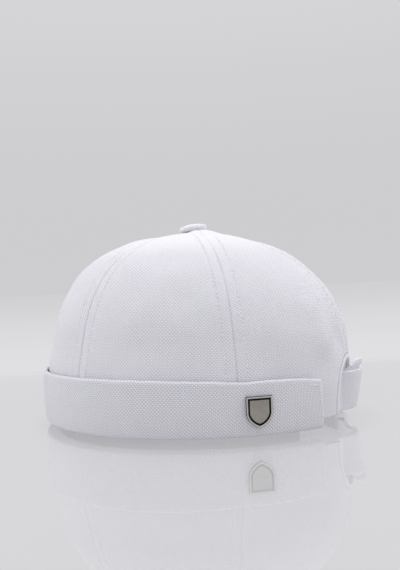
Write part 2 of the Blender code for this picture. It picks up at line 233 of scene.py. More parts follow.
def hills(run, size, row, layer):
    """A like wandering along a line, from the distances of its points."""
    return np.array([noise.noise(Vector((value / size, row, layer))) for value in run])


def panel_grid(start, end):
    """Angles, rises, outer and inner points, weave and seam coordinates of one gore, row by row."""
    share = np.linspace(0.0, 1.0, PANEL_ROWS + 1)
    middle = (start + end) / 2.0
    first, centre, last = [crown_skin(at, rises(at, share)) for at in (start, middle, end)]
    share = share[:, None]
    half = np.linalg.norm(last - first, axis=-1)[:, None] / 2.0
    edge = np.array(EDGE_COLUMNS) * MM
    edge = edge[None, :] * np.minimum(1.0, half / (edge[-1] * 1.6))
    inner = np.linspace(0.0, 1.0, INNER_COLUMNS + 1)[None, 1:-1]
    left = edge / half / 2.0
    inside = left[:, -1:] + (1.0 - 2.0 * left[:, -1:]) * inner
    across = np.concatenate([left, inside, 1.0 - left[:, ::-1]], axis=1)
    angle = start + (end - start) * across
    rise = rises(angle, share)
    skin = crown_skin(angle, rise)
    normal = crown_normal(angle, rise)

    # Distance from the nearer seam and the run along it
    along_row = running_length(skin)
    whole = along_row[:, -1:]
    from_seam = np.minimum(along_row, whole - along_row)
    nearer_first = across < 0.5
    run = np.where(nearer_first, running_length(first)[:, None], running_length(last)[:, None])

    # Weave coordinates: each row unrolls as a cone about the gore's middle line
    up_centre = running_length(centre)
    radius = np.hypot(centre[:, 0], centre[:, 1] - OVAL_CENTRE_Y)
    closing = -np.gradient(radius, up_centre)
    cone = np.clip(radius / np.maximum(closing, 1e-3), 0.0, 20.0)[:, None]
    middle_run = np.array([np.interp(middle, a, r) for a, r in zip(angle, along_row)])[:, None]
    swing = (along_row - middle_run) / cone
    weave_u = cone * np.sin(swing)
    weave_v = up_centre[:, None] + cone * (1.0 - np.cos(swing))

    # Relief beside the seams, less of it near the button
    near_top = smooth_step(0.0, 14.0 * MM, half * 2.0)
    crease = CREASE_DEPTH * nearness(from_seam, CREASE_WIDTH)
    band = ALLOWANCE_RISE * (1.0 - smooth_step(ALLOWANCE - 0.6 * MM, ALLOWANCE + 1.2 * MM, from_seam))
    pull = STITCH_PULL * nearness(from_seam - ALLOWANCE, STITCH_PULL_WIDTH)
    pull = pull * (0.75 + 0.25 * np.cos(2.0 * math.pi * run / STITCH_PITCH))
    gathered = nearness(from_seam - 0.55 * ALLOWANCE, 0.6 * ALLOWANCE)
    ripple, last_ripple = [
        hills(run[:, column], PUCKER_PITCH, seam_angle * 0.37, 4.1)[:, None]
        for column, seam_angle in ((0, start), (-1, end))
    ]
    ripple = np.where(nearer_first, ripple, last_ripple)
    relief = band - pull + PUCKER * ripple * gathered
    relief = relief * near_top - crease * (1.0 - 0.5 * smooth_step(0.62, 0.85, share))
    relief = relief + WANDER * wander(skin, WANDER_SIZE, 1.0) * smooth_step(0.0, 12.0 * MM, from_seam)
    outer = skin + normal * relief[..., None]
    inner_skin = skin - normal * CROWN_CLOTH
    seam = np.stack([from_seam, run + RUN_START], axis=-1)
    weave = np.stack([weave_u, weave_v], axis=-1)
    return outer, inner_skin, weave, seam


def add_object(name, data):
    made = bpy.data.objects.new(name, data)
    bpy.context.collection.objects.link(made)
    return made


def shell_object(name, outer, inner, maps, material, inner_material):
    """A closed sheet between two like grids of points, with a UV map for each named array of maps."""
    rows, columns = outer.shape[:2]
    index = np.arange(rows * columns).reshape(rows, columns)
    back = index + rows * columns
    quads = np.stack([index[:-1, :-1], index[:-1, 1:], index[1:, 1:], index[1:, :-1]], axis=-1)
    faces = [quads.reshape(-1, 4), (quads + rows * columns)[..., ::-1].reshape(-1, 4)]
    for line, other, turn in (
        (index[0], back[0], 1),
        (index[-1], back[-1], -1),
        (index[:, 0], back[:, 0], -1),
        (index[:, -1], back[:, -1], 1),
    ):
        rim = np.stack([line[:-1], other[:-1], other[1:], line[1:]], axis=-1)
        faces.append(rim[:, ::turn])
    faces = np.concatenate(faces)
    mesh = bpy.data.meshes.new(name)
    points = np.concatenate([outer.reshape(-1, 3), inner.reshape(-1, 3)])
    mesh.from_pydata(points.tolist(), [], faces.tolist())
    corners = np.empty(len(mesh.loops), dtype=np.int32)
    mesh.loops.foreach_get("vertex_index", corners)
    for map_name, values in maps.items():
        values = np.concatenate([values.reshape(-1, 2), values.reshape(-1, 2)])
        mesh.uv_layers.new(name=map_name).data.foreach_set("uv", values[corners].ravel())
    mesh.shade_smooth()
    mesh.set_sharp_from_angle(angle=math.radians(60.0))
    mesh.materials.append(material)
    mesh.materials.append(inner_material)
    on_inside = np.zeros(len(faces), dtype=np.int32)
    # The inner face's quads follow the outer one's
    on_inside[quads.size // 4:quads.size // 2] = 1
    mesh.polygons.foreach_set("material_index", on_inside)
    return add_object(name, mesh)


# Canvas: plain weave of one thick thread a millimetre
THREAD = 0.98 * MM
CANVAS_WHITE = (0.845, 0.84, 0.875, 1.0)
# The darker canvas colour: painted shade of the weave, pricks, seams and ditch, and the slubs' greyer tone
CANVAS_SHADE_AND_SLUB_GREY = (0.50, 0.49, 0.56, 1.0)
HOLLOW_SHADE = 0.38
UPRIGHT_SHADE = 0.34
TWIST_SHADE = 0.16
SLUB_SHADE = 0.24
MEAN_SHADE = 0.2
PRICK_SHADE = 0.22
PRICK_SIZES = (0.25 * MM, 0.62 * MM)
SEAM_SHADE = 0.15
SEAM_WIDTHS = (0.1 * MM, 0.42 * MM)
DITCH_SHADE = 0.6
DITCH = 0.65 * MM
DITCH_WIDTHS = (0.15 * MM, 0.5 * MM)
INSIDE_GLOW = 0.2
# Strip along the cuff's end folds, lightened as a painted highlight where the pressed folds catch the
# light
LIT_PRESSED_EDGE = (0.5 * MM, 1.7 * MM)
LIT_PRESSED_SHARE = 0.1
# Crown heights over which the weave's painted shade and relief fade: the top lighter as painted light from
# the overhead lamp
LIT_SMOOTH_TOP = (98.0 * MM, 112.0 * MM)
LIT_SMOOTH_SHARE = 0.45


def put(tree, made, **inputs):
    """Give a node's inputs, called by name or by _ and number, their values or sockets to link."""
    for key, value in inputs.items():
        socket = made.inputs[int(key[1:])] if key[0] == "_" else made.inputs[key.replace("_", " ")]
        if isinstance(value, bpy.types.NodeSocket):
            tree.links.new(value, socket)
        else:
            socket.default_value = value


def node(tree, kind, settings=None, out=0, **inputs):
    """Add a node with its settings and inputs, and give one of its outputs."""
    made = tree.nodes.new(kind)
    for key, value in (settings or {}).items():
        setattr(made, key, value)
    put(tree, made, **inputs)
    return made.outputs[out]


def calculate(tree, operation, *values):
    """Work out a number from numbers."""
    values = {f"_{i}": value for i, value in enumerate(values)}
    return node(tree, "ShaderNodeMath", {"operation": operation}, **values)


def vectors(tree, operation, first, second=None, out=0):
    """Work out a vector from vectors, or with SCALE from a vector and a number."""
    second = {} if second is None else {"Scale" if operation == "SCALE" else "_1": second}
    return node(tree, "ShaderNodeVectorMath", {"operation": operation}, out, _0=first, **second)


def part(tree, vector, axis):
    return node(tree, "ShaderNodeSeparateXYZ", out=axis, Vector=vector)


def blend(tree, value, given, made, interpolation="SMOOTHSTEP"):
    """Carry a value from the given range over to the made one, smoothly."""
    return node(
        tree, "ShaderNodeMapRange", {"interpolation_type": interpolation},
        Value=value, From_Min=given[0], From_Max=given[1], To_Min=made[0], To_Max=made[1],
    )


def mix(tree, share, first, second):
    """The first colour, and at a share of 1 the second one."""
    return node(tree, "ShaderNodeMix", {"data_type": "RGBA"}, 2, Factor=share, _6=first, _7=second)


def grain(tree, place, scale, detail, out=0):
    return node(tree, "ShaderNodeTexNoise", out=out, Vector=place, Scale=scale, Detail=detail)


def bumps(tree, strength, distance, height):
    return node(tree, "ShaderNodeBump", Strength=strength, Distance=distance, Height=height)


def new_material(name):
    """A material, its node tree and its shader."""
    material = bpy.data.materials.new(name)
    material.use_nodes = True
    return material, material.node_tree, material.node_tree.nodes["Principled BSDF"]


def plain_weave(tree, u, v):
    """Height of a plain weave from thread coordinates, and where its upright threads lie on top."""
    column, row = calculate(tree, "FLOOR", u), calculate(tree, "FLOOR", v)
    heights = []
    for run, lane, other, sign in ((v, column, u, 0.5), (u, row, v, -0.5)):
        across = calculate(tree, "SUBTRACT", calculate(tree, "FRACT", other), 0.5)
        phase = calculate(tree, "MULTIPLY", calculate(tree, "SUBTRACT", run, lane), math.pi)
        wave = calculate(tree, "MULTIPLY", calculate(tree, "SINE", phase), sign)
        bulge = calculate(tree, "MULTIPLY", calculate(tree, "MULTIPLY", across, across), 2.4)
        heights.append(calculate(tree, "SUBTRACT", wave, bulge))
    return calculate(tree, "SMOOTH_MAX", *heights, 0.12), calculate(tree, "GREATER_THAN", *heights)


def canvas_material(
    name, weave_depth, contrast, thread=THREAD, glow=0.0, lit_pressed_ends=0.0, lit_smooth_top=False
):
    """White canvas: woven threads with slubs, darker in the hollows, pricked along the seam stitching.

    Inside the cap, glow stands for the light that comes through the cloth. A strip as long as
    lit_pressed_ends has its weave pressed flat along both end folds, its painted shade lifted there as a
    painted highlight where the folds catch the light. A lit smooth top is smoother, its weave's painted
    shade fading upwards as painted light where the overhead lamp washes it out.
    """
    material, tree, shader = new_material(name)
    place = node(tree, "ShaderNodeUVMap", {"uv_map": "weave"})
    bend = vectors(tree, "SUBTRACT", grain(tree, place, 90.0, 2.0, "Color"), (0.5, 0.5, 0.5))
    bent = vectors(tree, "ADD", place, vectors(tree, "SCALE", bend, 0.7 * MM))
    threads = vectors(tree, "SCALE", bent, 1.0 / thread)
    u, v = part(tree, threads, "X"), part(tree, threads, "Y")
    height, upright = plain_weave(tree, u, v)

    # Each thread's own thickness and whiteness, and the fibres along it
    level_slub, upright_slub = [
        grain(tree, vectors(tree, "MULTIPLY", threads, stretch), 1.0, 1.0)
        for stretch in ((0.06, 0.9, 1.0), (0.9, 0.06, 1.0))
    ]
    slub = node(
        tree, "ShaderNodeMix", {"data_type": "FLOAT"}, Factor=upright, _2=level_slub, _3=upright_slub
    )
    fibre = grain(tree, threads, 7.0, 3.0)

    # Needle pricks along both lines of topstitching, darkened in patches by painted shade in each hole
    seam = node(tree, "ShaderNodeUVMap", {"uv_map": "seam"})
    beside, run = part(tree, seam, "X"), part(tree, seam, "Y")
    aside = calculate(tree, "SUBTRACT", beside, ALLOWANCE)
    turn = calculate(tree, "MULTIPLY", run, math.pi / STITCH_PITCH)
    ahead = calculate(tree, "MULTIPLY", calculate(tree, "SINE", turn), STITCH_PITCH / math.pi)
    away = vectors(tree, "LENGTH", node(tree, "ShaderNodeCombineXYZ", X=aside, Y=ahead), out="Value")
    prick_patches = blend(tree, grain(tree, seam, 55.0, 1.0), (0.35, 0.62), (0.1, 1.0), "LINEAR")
    prick = calculate(tree, "MULTIPLY", blend(tree, away, PRICK_SIZES, (1.0, 0.0)), prick_patches)

    # The shade in a seam, and in the ditch that the tape's sewing pulls
    seamless = calculate(tree, "LESS_THAN", run, RUN_START / 2.0)
    in_seam = blend(tree, calculate(tree, "ADD", beside, seamless), SEAM_WIDTHS, (1.0, 0.0))
    edge = part(tree, node(tree, "ShaderNodeUVMap", {"uv_map": "edge"}), "X")
    from_ditch = calculate(tree, "ABSOLUTE", calculate(tree, "SUBTRACT", edge, RUN_START + DITCH))
    in_ditch = blend(tree, from_ditch, DITCH_WIDTHS, (1.0, 0.0))

    # Painted shade: darker in the weave's hollows, on its upright threads, along one diagonal, in the
    # pricks, seams and ditch; the slubs are the threads' own tone
    shade = blend(tree, height, (-0.35, 0.35), (HOLLOW_SHADE * contrast, 0.0))
    shade = calculate(tree, "SUBTRACT", shade, SLUB_SHADE / 2.0 + MEAN_SHADE * (contrast - 1.0))
    diagonal = calculate(tree, "MULTIPLY", calculate(tree, "ADD", u, v), math.pi)
    for what, share in (
        (upright, UPRIGHT_SHADE * contrast),
        (calculate(tree, "COSINE", diagonal), -TWIST_SHADE * contrast / 2.0),
        (slub, SLUB_SHADE),
        (prick, PRICK_SHADE),
        (in_seam, SEAM_SHADE),
        (in_ditch, DITCH_SHADE),
    ):
        shade = calculate(tree, "MULTIPLY_ADD", what, share, shade)
    # Painted light: towards the top the weave's painted shade and its relief fade, so the top reads
    # lighter
    if lit_smooth_top:
        level = part(tree, node(tree, "ShaderNodeTexCoord", out="Object"), "Z")
        below_lit_top = blend(tree, level, LIT_SMOOTH_TOP, (1.0, LIT_SMOOTH_SHARE))
        shade, height = [calculate(tree, "MULTIPLY", value, below_lit_top) for value in (shade, height)]
    # Painted highlight: the weave's painted shade is lifted along both end folds
    if lit_pressed_ends:
        along = part(tree, place, "X")
        from_end = calculate(tree, "MINIMUM", along, calculate(tree, "SUBTRACT", lit_pressed_ends, along))
        away_from_lit_ends = blend(tree, from_end, LIT_PRESSED_EDGE, (LIT_PRESSED_SHARE, 1.0))
        shade = calculate(tree, "MULTIPLY", shade, away_from_lit_ends)

    relief = height
    for what, share in ((fibre, 0.25), (slub, 0.5), (prick, -2.0), (in_ditch, -3.0)):
        relief = calculate(tree, "MULTIPLY_ADD", what, share, relief)
    put(
        tree, shader,
        Base_Color=mix(tree, shade, CANVAS_WHITE, CANVAS_SHADE_AND_SLUB_GREY),
        Normal=bumps(tree, 1.0, weave_depth, relief),
        Emission_Color=CANVAS_WHITE, Emission_Strength=glow, Roughness=0.88,
        Specular_IOR_Level=0.25, Sheen_Weight=0.25, Sheen_Roughness=0.45,
    )
    return material


crown_canvas = canvas_material("crown canvas", 0.15 * MM, 1.05, lit_smooth_top=True)
lit_inside = canvas_material("lit inside", 0.15 * MM, 1.05, glow=INSIDE_GLOW)

# The arch opening at the back, cut out of both back panels
ARCH_HALF_WIDTH = 20.0 * MM
ARCH_HEIGHT = 36.5 * MM
ARCH_SQUARENESS = 2.3
ARCH_STEPS = 120
ARCH_CUT_INSIDE = 0.9 * MM
ARCH_CUT_REACH = (10.0 * MM, -7.0 * MM)


def arch_line(inset, out, steps=ARCH_STEPS, lowest=CROWN_HEM):
    """The arch opening's edge from the wearer's left over the top to the right, with its outward normals.

    The edge is moved into the opening by inset and outwards from the crown by out.
    """
    turn = np.linspace(-1.0, 1.0, steps + 1)
    t = turn * math.pi / 2.0
    power = 2.0 / ARCH_SQUARENESS
    x = -np.copysign((ARCH_HALF_WIDTH - inset) * np.abs(np.sin(t)) ** power, turn)
    height = np.maximum((ARCH_HEIGHT - inset) * np.maximum(np.cos(t), 0.0) ** power, lowest)
    rise = np.arcsin(height / CROWN_HEIGHT)
    # Close in on the angles at which the crown's face has these x
    low, high = np.full_like(x, 120.0), np.full_like(x, 240.0)
    for _ in range(40):
        middle = (low + high) / 2.0
        further = crown_skin(middle, rise)[:, 0] > x
        low, high = np.where(further, middle, low), np.where(further, high, middle)
    angle = (low + high) / 2.0
    normal = crown_normal(angle, rise)
    return crown_skin(angle, rise) + normal * out, normal


def end_mesh(maker, mesh):
    """Turn a bmesh's faces outwards and keep it as a mesh."""
    bmesh.ops.recalc_face_normals(maker, faces=maker.faces)
    maker.to_mesh(mesh)
    maker.free()
    return mesh


def cut_arch(panel):
    """Cut the arch opening out of a back panel, a little inside the line that the tape covers."""
    below = np.array([[0.0, 0.0, -10.0 * MM]])
    maker = bmesh.new()
    rings = []
    for out in ARCH_CUT_REACH:
        edge, _ = arch_line(ARCH_CUT_INSIDE, out)
        ring = np.concatenate([edge[:1] + below, edge, edge[-1:] + below])
        rings.append([maker.verts.new(point) for point in ring])
    front, back = rings
    for i in range(len(front)):
        j = (i + 1) % len(front)
        maker.faces.new((front[i], front[j], back[j], back[i]))
    caps = [maker.faces.new(front), maker.faces.new(back)]
    # Cut into triangles at a thousand times its size, where its smallest corners count
    bmesh.ops.scale(maker, vec=(1.0 / MM, 1.0 / MM, 1.0 / MM), verts=maker.verts)
    bmesh.ops.triangulate(maker, faces=caps)
    bmesh.ops.scale(maker, vec=(MM, MM, MM), verts=maker.verts)
    cutter = add_object("arch_cutter", end_mesh(maker, bpy.data.meshes.new("arch_cutter")))
    cut = panel.modifiers.new("arch", "BOOLEAN")
    cut.operation = "DIFFERENCE"
    cut.object = cutter
    settle(panel)
    bpy.data.objects.remove(cutter, do_unlink=True)


def settle(piece):
    """Turn a piece and its modifiers into one plain mesh."""
    bpy.context.view_layer.update()
    worked_out = bpy.context.evaluated_depsgraph_get()
    plain = bpy.data.meshes.new_from_object(
        piece.evaluated_get(worked_out), preserve_all_data_layers=True, depsgraph=worked_out
    )
    piece.modifiers.clear()
    old = piece.data
    piece.data = plain
    plain.name = old.name
    bpy.data.meshes.remove(old)


def from_arch(points):
    """How far points of the back panels lie outside the arch opening's edge."""
    across, up = np.abs(points[..., 0]) / ARCH_HALF_WIDTH, points[..., 2] / ARCH_HEIGHT
    size = (across**ARCH_SQUARENESS + up**ARCH_SQUARENESS) ** (1.0 / ARCH_SQUARENESS)
    slope = np.hypot(
        (across / size) ** (ARCH_SQUARENESS - 1.0) / ARCH_HALF_WIDTH,
        (up / size) ** (ARCH_SQUARENESS - 1.0) / ARCH_HEIGHT,
    )
    return (size - 1.0) / slope


dressed = {}
for name, start, end in PANELS:
    outer, inner, weave, seam = panel_grid(start, end)
    # Each panel is cut from another place of the cloth
    weave = weave + (0.31 * start * MM, 0.0)
    dressed[name] = (outer, seam)
    maps = {"weave": weave, "seam": seam}
    if "back" in name:
        distance = from_arch(outer) + RUN_START
        maps["edge"] = np.stack([distance, distance], axis=-1)
    inside = lit_inside if "back" in name else crown_canvas
    panel = shell_object(f"{name}_cloth", outer, inner, maps, crown_canvas, inside)
    if "back" in name:
        cut_arch(panel)
    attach(panel, "root")
    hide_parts(name)

# Topstitching
# White thread, a line to each side of every seam that holds its allowances flat. A stitch lies between
# two needle pricks of the canvas; Geometry Nodes lays one on every point of the lines.
STITCH_LENGTH = 1.9 * MM
STITCH_RADIUS = 0.24 * MM
STITCH_TURN = 0.12
STITCH_SEED = 7
LOWEST_STITCH = 24.0 * MM
THREAD_WHITE = (0.86, 0.855, 0.89, 1.0)
# Ply grooves of the thread, darker as painted shade
THREAD_PLY_SHADE = (0.70, 0.69, 0.74, 1.0)


def points_mesh(name, points, edges=(), **attributes):
    """A mesh of points that carry named attributes, single numbers or vectors."""
    mesh = bpy.data.meshes.new(name)
    mesh.from_pydata(np.asarray(points).tolist(), list(edges), [])
    for key, values in attributes.items():
        values = np.asarray(values, dtype=float)
        kind, field = ("FLOAT", "value") if values.ndim == 1 else ("FLOAT_VECTOR", "vector")
        mesh.attributes.new(key, kind, "POINT").data.foreach_set(field, values.ravel())
    return add_object(name, mesh)


def new_tree(name, **sockets):
    """A Geometry Nodes tree with the named inputs besides its geometry."""
    tree = bpy.data.node_groups.new(name, "GeometryNodeTree")
    tree.interface.new_socket("Geometry", in_out="INPUT", socket_type="NodeSocketGeometry")
    for socket_name, kind in sockets.items():
        tree.interface.new_socket(socket_name, in_out="INPUT", socket_type=f"NodeSocket{kind}")
    tree.interface.new_socket("Geometry", in_out="OUTPUT", socket_type="NodeSocketGeometry")
    return tree, tree.nodes.new("NodeGroupInput").outputs


def end_tree(tree, geometry, finish):
    """End a tree by making its instances real and giving them their material."""
    real = node(tree, "GeometryNodeRealizeInstances", Geometry=geometry)
    smooth = node(tree, "GeometryNodeSetShadeSmooth", Geometry=real)
    painted = node(tree, "GeometryNodeSetMaterial", Geometry=smooth, Material=finish)
    put(tree, tree.nodes.new("NodeGroupOutput"), _0=painted)
    return tree


def grow(piece, tree, **values):
    """Run a tree on a piece with the given inputs, and keep what it makes as a plain mesh."""
    modifier = piece.modifiers.new(tree.name, "NODES")
    modifier.node_group = tree
    sockets = {item.name: item.identifier for item in tree.interface.items_tree if item.in_out == "INPUT"}
    for key, value in values.items():
        modifier[sockets[key]] = value
    settle(piece)


def attribute(tree, name, kind="FLOAT_VECTOR"):
    return node(tree, "GeometryNodeInputNamedAttribute", {"data_type": kind}, Name=name)


def stitch_tree():
    """Lays a stitch on every point, along its "forward" and out to its "outward", each a little turned."""
    tree, given = new_tree("stitches", Stitch="Object", Turn="Float", Seed="Int", Finish="Material")
    facing = node(
        tree, "FunctionNodeAxesToRotation", {"primary_axis": "X", "secondary_axis": "Z"},
        Primary_Axis=attribute(tree, "forward"), Secondary_Axis=attribute(tree, "outward"),
    )
    least = calculate(tree, "MULTIPLY", given["Turn"], -1.0)
    swing = node(
        tree, "FunctionNodeRandomValue", {"data_type": "FLOAT"}, 1,
        _2=least, _3=given["Turn"], _8=given["Seed"],
    )
    swing = node(tree, "FunctionNodeEulerToRotation", Euler=node(tree, "ShaderNodeCombineXYZ", Z=swing))
    laid = node(
        tree, "GeometryNodeInstanceOnPoints", Points=given["Geometry"],
        Instance=node(tree, "GeometryNodeObjectInfo", out="Geometry", Object=given["Stitch"]),
        Rotation=node(
            tree, "FunctionNodeRotateRotation", {"rotation_space": "LOCAL"},
            Rotation=facing, Rotate_By=swing,
        ),
    )
    return end_tree(tree, laid, given["Finish"])


def thread_material():
    """Twisted white cotton thread, its plies winding round it."""
    material, tree, shader = new_material("thread")
    plies = node(
        tree, "ShaderNodeTexWave", {"bands_direction": "DIAGONAL"}, "Fac",
        Vector=node(tree, "ShaderNodeTexCoord", out="Object"), Scale=900.0, Distortion=1.5,
    )
    # Painted shade in the grooves between the plies
    put(
        tree, shader,
        Base_Color=mix(tree, plies, THREAD_PLY_SHADE, THREAD_WHITE),
        Normal=bumps(tree, 0.6, 0.05 * MM, plies), Roughness=0.7, Sheen_Weight=0.15,
    )
    return material


def points_at(distances, run, points):
    """Points at distances along a line, from its points and how far along each of them lies."""
    return np.stack([np.interp(distances, run, column) for column in np.transpose(points)], axis=-1)


def allowance_line(outer, seam):
    """Stitch centres along the allowance of the seam that a panel's grid starts with."""
    half = seam.shape[1] // 2
    from_seam, run = seam[:, :half, 0], seam[:, 0, 1]
    rows = np.flatnonzero(from_seam[:, -1] > 1.4 * ALLOWANCE)
    turns = np.arange(math.ceil(run[rows[0]] / STITCH_PITCH), int(run[rows[-1]] / STITCH_PITCH)) + 0.5
    near, far = [
        points_at(
            turns * STITCH_PITCH, run[rows],
            np.array([points_at(aside, from_seam[j], outer[j, :half]) for j in rows]),
        )
        for aside in (ALLOWANCE, ALLOWANCE + 1.0 * MM)
    ]
    forward = np.gradient(near, axis=0)
    outward = unit(np.cross(forward, far - near))
    outward *= np.sign(np.sum(outward * (near - (0.0, 0.0, 0.3 * CROWN_HEIGHT)), axis=1, keepdims=True))
    across, up = np.abs(near[:, 0]) / ARCH_HALF_WIDTH, near[:, 2] / ARCH_HEIGHT
    in_arch = (near[:, 1] > 0.0) & (across**ARCH_SQUARENESS + up**ARCH_SQUARENESS < 1.05)
    shown = (near[:, 2] > LOWEST_STITCH) & ~in_arch
    return near[shown], forward[shown], outward[shown]


maker = bmesh.new()
bmesh.ops.create_uvsphere(maker, u_segments=8, v_segments=6, radius=1.0)
bmesh.ops.rotate(maker, verts=maker.verts, matrix=Matrix.Rotation(math.pi / 2.0, 3, "Y"))
bmesh.ops.scale(maker, vec=(STITCH_LENGTH / 2.0, STITCH_RADIUS, STITCH_RADIUS), verts=maker.verts)
stitch_mesh = end_mesh(maker, bpy.data.meshes.new("stitch"))
stitch = bpy.data.objects.new("stitch", stitch_mesh)
stitches = stitch_tree()
thread = thread_material()
lines = [
    allowance_line(outer[:, ::step], seam[:, ::step])
    for outer, seam in dressed.values() for step in (1, -1)
]
centres, forwards, outwards = [np.concatenate(parts) for parts in zip(*lines)]
topstitching = points_mesh("crown_topstitching", centres, forward=forwards, outward=outwards)
grow(topstitching, stitches, Stitch=stitch, Turn=STITCH_TURN, Seed=STITCH_SEED, Finish=thread)
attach(topstitching, "root")

# Cuff
# A strip of doubled canvas, turned under the crown's hem and up again round the outside. Its upper edge
# is a fold and its free ends are sewn shut beside the arch opening. A section is carried along the oval.
CUFF_CLOTH = 2.4 * MM
CUFF_TURN = 3.0 * MM
CUFF_LEAN = 2.1 * MM
CUFF_END = 151.5
CUFF_FOOT_ROUND = 0.9 * MM
CUFF_SLOT_ROUND = 0.8 * MM
CUFF_INNER_TOP = 11.0 * MM
CUFF_INNER_ROOM = 0.6 * MM
CUFF_HEIGHTS = (
    # angle from the front in degrees, height of the outer fold in mm
    (0.0, 31.0),
    (110.0, 31.2),
    (123.5, 29.9),
    (131.0, 30.1),
    (140.0, 29.5),
    (150.8, 27.9),
)
CUFF_BILLOW = 0.4 * MM
# Size of the slow waves and of the fine ripples along the cuff, and the share of each
CUFF_WAVES = (26.0 * MM, 1.6)
CUFF_RIPPLES = (9.0 * MM, 0.4)
CUFF_BELLY = 1.55 * MM
CUFF_FOOT_OUT = 0.8 * MM
CUFF_RIPPLE = 0.011
CUFF_END_ROUND = 0.9 * MM
CUFF_END_SWELL = 0.4 * MM
CUFF_END_SWELL_REACH = 2.0 * MM
CUFF_END_SLANT = 0.06
CUFF_END_SLANT_REACH = 9.0 * MM
CUFF_STEPS = 420
CUFF_SIDE_POINTS = 70
END_SHARES = (0.0, 0.03, 0.12, 0.27, 0.47, 0.72)


def section_tree():
    """Carries a section along a path whose points say where out and up lead, and how full it is there."""
    tree, given = new_tree("section along a path", Section="Object", Finish="Material")
    section = node(tree, "GeometryNodeObjectInfo", out="Geometry", Object=given["Section"])
    path, section = [
        node(tree, "GeometryNodeMeshToCurve", Mesh=mesh) for mesh in (given["Geometry"], section)
    ]
    swept = node(tree, "GeometryNodeCurveToMesh", Curve=path, Profile_Curve=section)
    billow, cloth, free, fullness, run, stretch = [
        attribute(tree, name, "FLOAT")
        for name in ("billow", "cloth", "free", "fullness", "run", "stretch")
    ]
    core = attribute(tree, "core")
    across = vectors(tree, "SUBTRACT", attribute(tree, "side"), core)
    at = vectors(tree, "ADD", core, vectors(tree, "SCALE", across, fullness))
    out = calculate(tree, "MULTIPLY_ADD", billow, free, part(tree, at, "X"))
    stretch = calculate(tree, "MULTIPLY_ADD", stretch, free, 1.0)
    up = calculate(tree, "MULTIPLY", part(tree, at, "Y"), stretch)
    place = attribute(tree, "place")
    for way, far in (("outward", out), ("upward", up)):
        place = vectors(tree, "ADD", place, vectors(tree, "SCALE", attribute(tree, way), far))
    mapped = node(
        tree, "GeometryNodeStoreNamedAttribute", {"data_type": "FLOAT2", "domain": "CORNER"},
        Geometry=node(tree, "GeometryNodeSetPosition", Geometry=swept, Position=place),
        Name="weave", Value=node(tree, "ShaderNodeCombineXYZ", X=run, Y=cloth),
    )
    closed = node(tree, "GeometryNodeMergeByDistance", Geometry=mapped, Distance=0.001 * MM)
    return end_tree(tree, closed, given["Finish"])


def carry_section(name, section, core, free, cloth, path, material, **along):
    """A closed strip with rounded ends: a loop of section points, carried along a path."""
    count = len(section)
    side, core = [np.column_stack([points, np.zeros(count)]) for points in (section, core)]
    loop = [(i, (i + 1) % count) for i in range(count)]
    profile = points_mesh("section", side, loop, side=side, core=core, free=free, cloth=cloth)
    steps = [(i, i + 1) for i in range(len(path) - 1)]
    piece = points_mesh(name, path, steps, place=path, run=running_length(path), **along)
    grow(piece, sweep, Section=profile, Finish=material)
    bpy.data.objects.remove(profile, do_unlink=True)
    # Its working attributes have served
    for key in ("side", "core", "free", "cloth", "place", "run", *along):
        if key in piece.data.attributes:
            piece.data.attributes.remove(piece.data.attributes[key])
    maker = bmesh.new()
    maker.from_mesh(piece.data)
    end_mesh(maker, piece.data)
    return piece


def arc(centre, radius, start, end, steps=6):
    """Points of an arc in a section, its angles in degrees from outwards towards upwards."""
    turns = np.radians(np.linspace(start, end, steps + 1))
    return [(centre[0] + radius * math.cos(turn), centre[1] + radius * math.sin(turn)) for turn in turns]


def evenly(points, count):
    """The same line with count points spaced evenly along it."""
    points = np.array(points)
    run = running_length(points)
    return points_at(np.linspace(0.0, run[-1], count), run, points)


def smooth_table(table, angles, column=1):
    """Read a column of a table at many angles, on a curve that passes through its rows smoothly."""
    rows = np.array(table, dtype=float)
    known, values = rows[:, 0], rows[:, column]
    slopes = np.gradient(values, known)
    angles = np.clip(angles, known[0], known[-1])
    i = np.clip(np.searchsorted(known, angles, side="right") - 1, 0, len(known) - 2)
    span = known[i + 1] - known[i]
    share = (angles - known[i]) / span
    return (
        values[i] * (2.0 * share**3 - 3.0 * share**2 + 1.0)
        + slopes[i] * span * (share**3 - 2.0 * share**2 + share)
        + values[i + 1] * (3.0 * share**2 - 2.0 * share**3)
        + slopes[i + 1] * span * (share**3 - share**2)
    )


def cuff_bulge(level):
    """How far the cuff's outer layers swell out, fullest a third of the way up; level is 0 to 1."""
    # 2.6 makes the fullest place 1
    fullness = 2.6 * (np.sqrt(level) - level**1.5)
    return CUFF_BELLY * fullness + CUFF_FOOT_OUT * (1.0 - level) ** 2


def with_fine_ends(count, end_share):
    """Shares from 0 to 1, count steps and closer together at both ends."""
    fine = np.array(END_SHARES) * end_share
    return np.concatenate([fine, np.linspace(end_share, 1.0 - end_share, count), 1.0 - fine[::-1]])


def rounded_end(distance, radius):
    """How full the cloth is at a distance from its edge, for an edge as round as half a circle."""
    return np.sqrt(1.0 - (1.0 - np.clip(distance / radius, 0.0, 1.0)) ** 2)


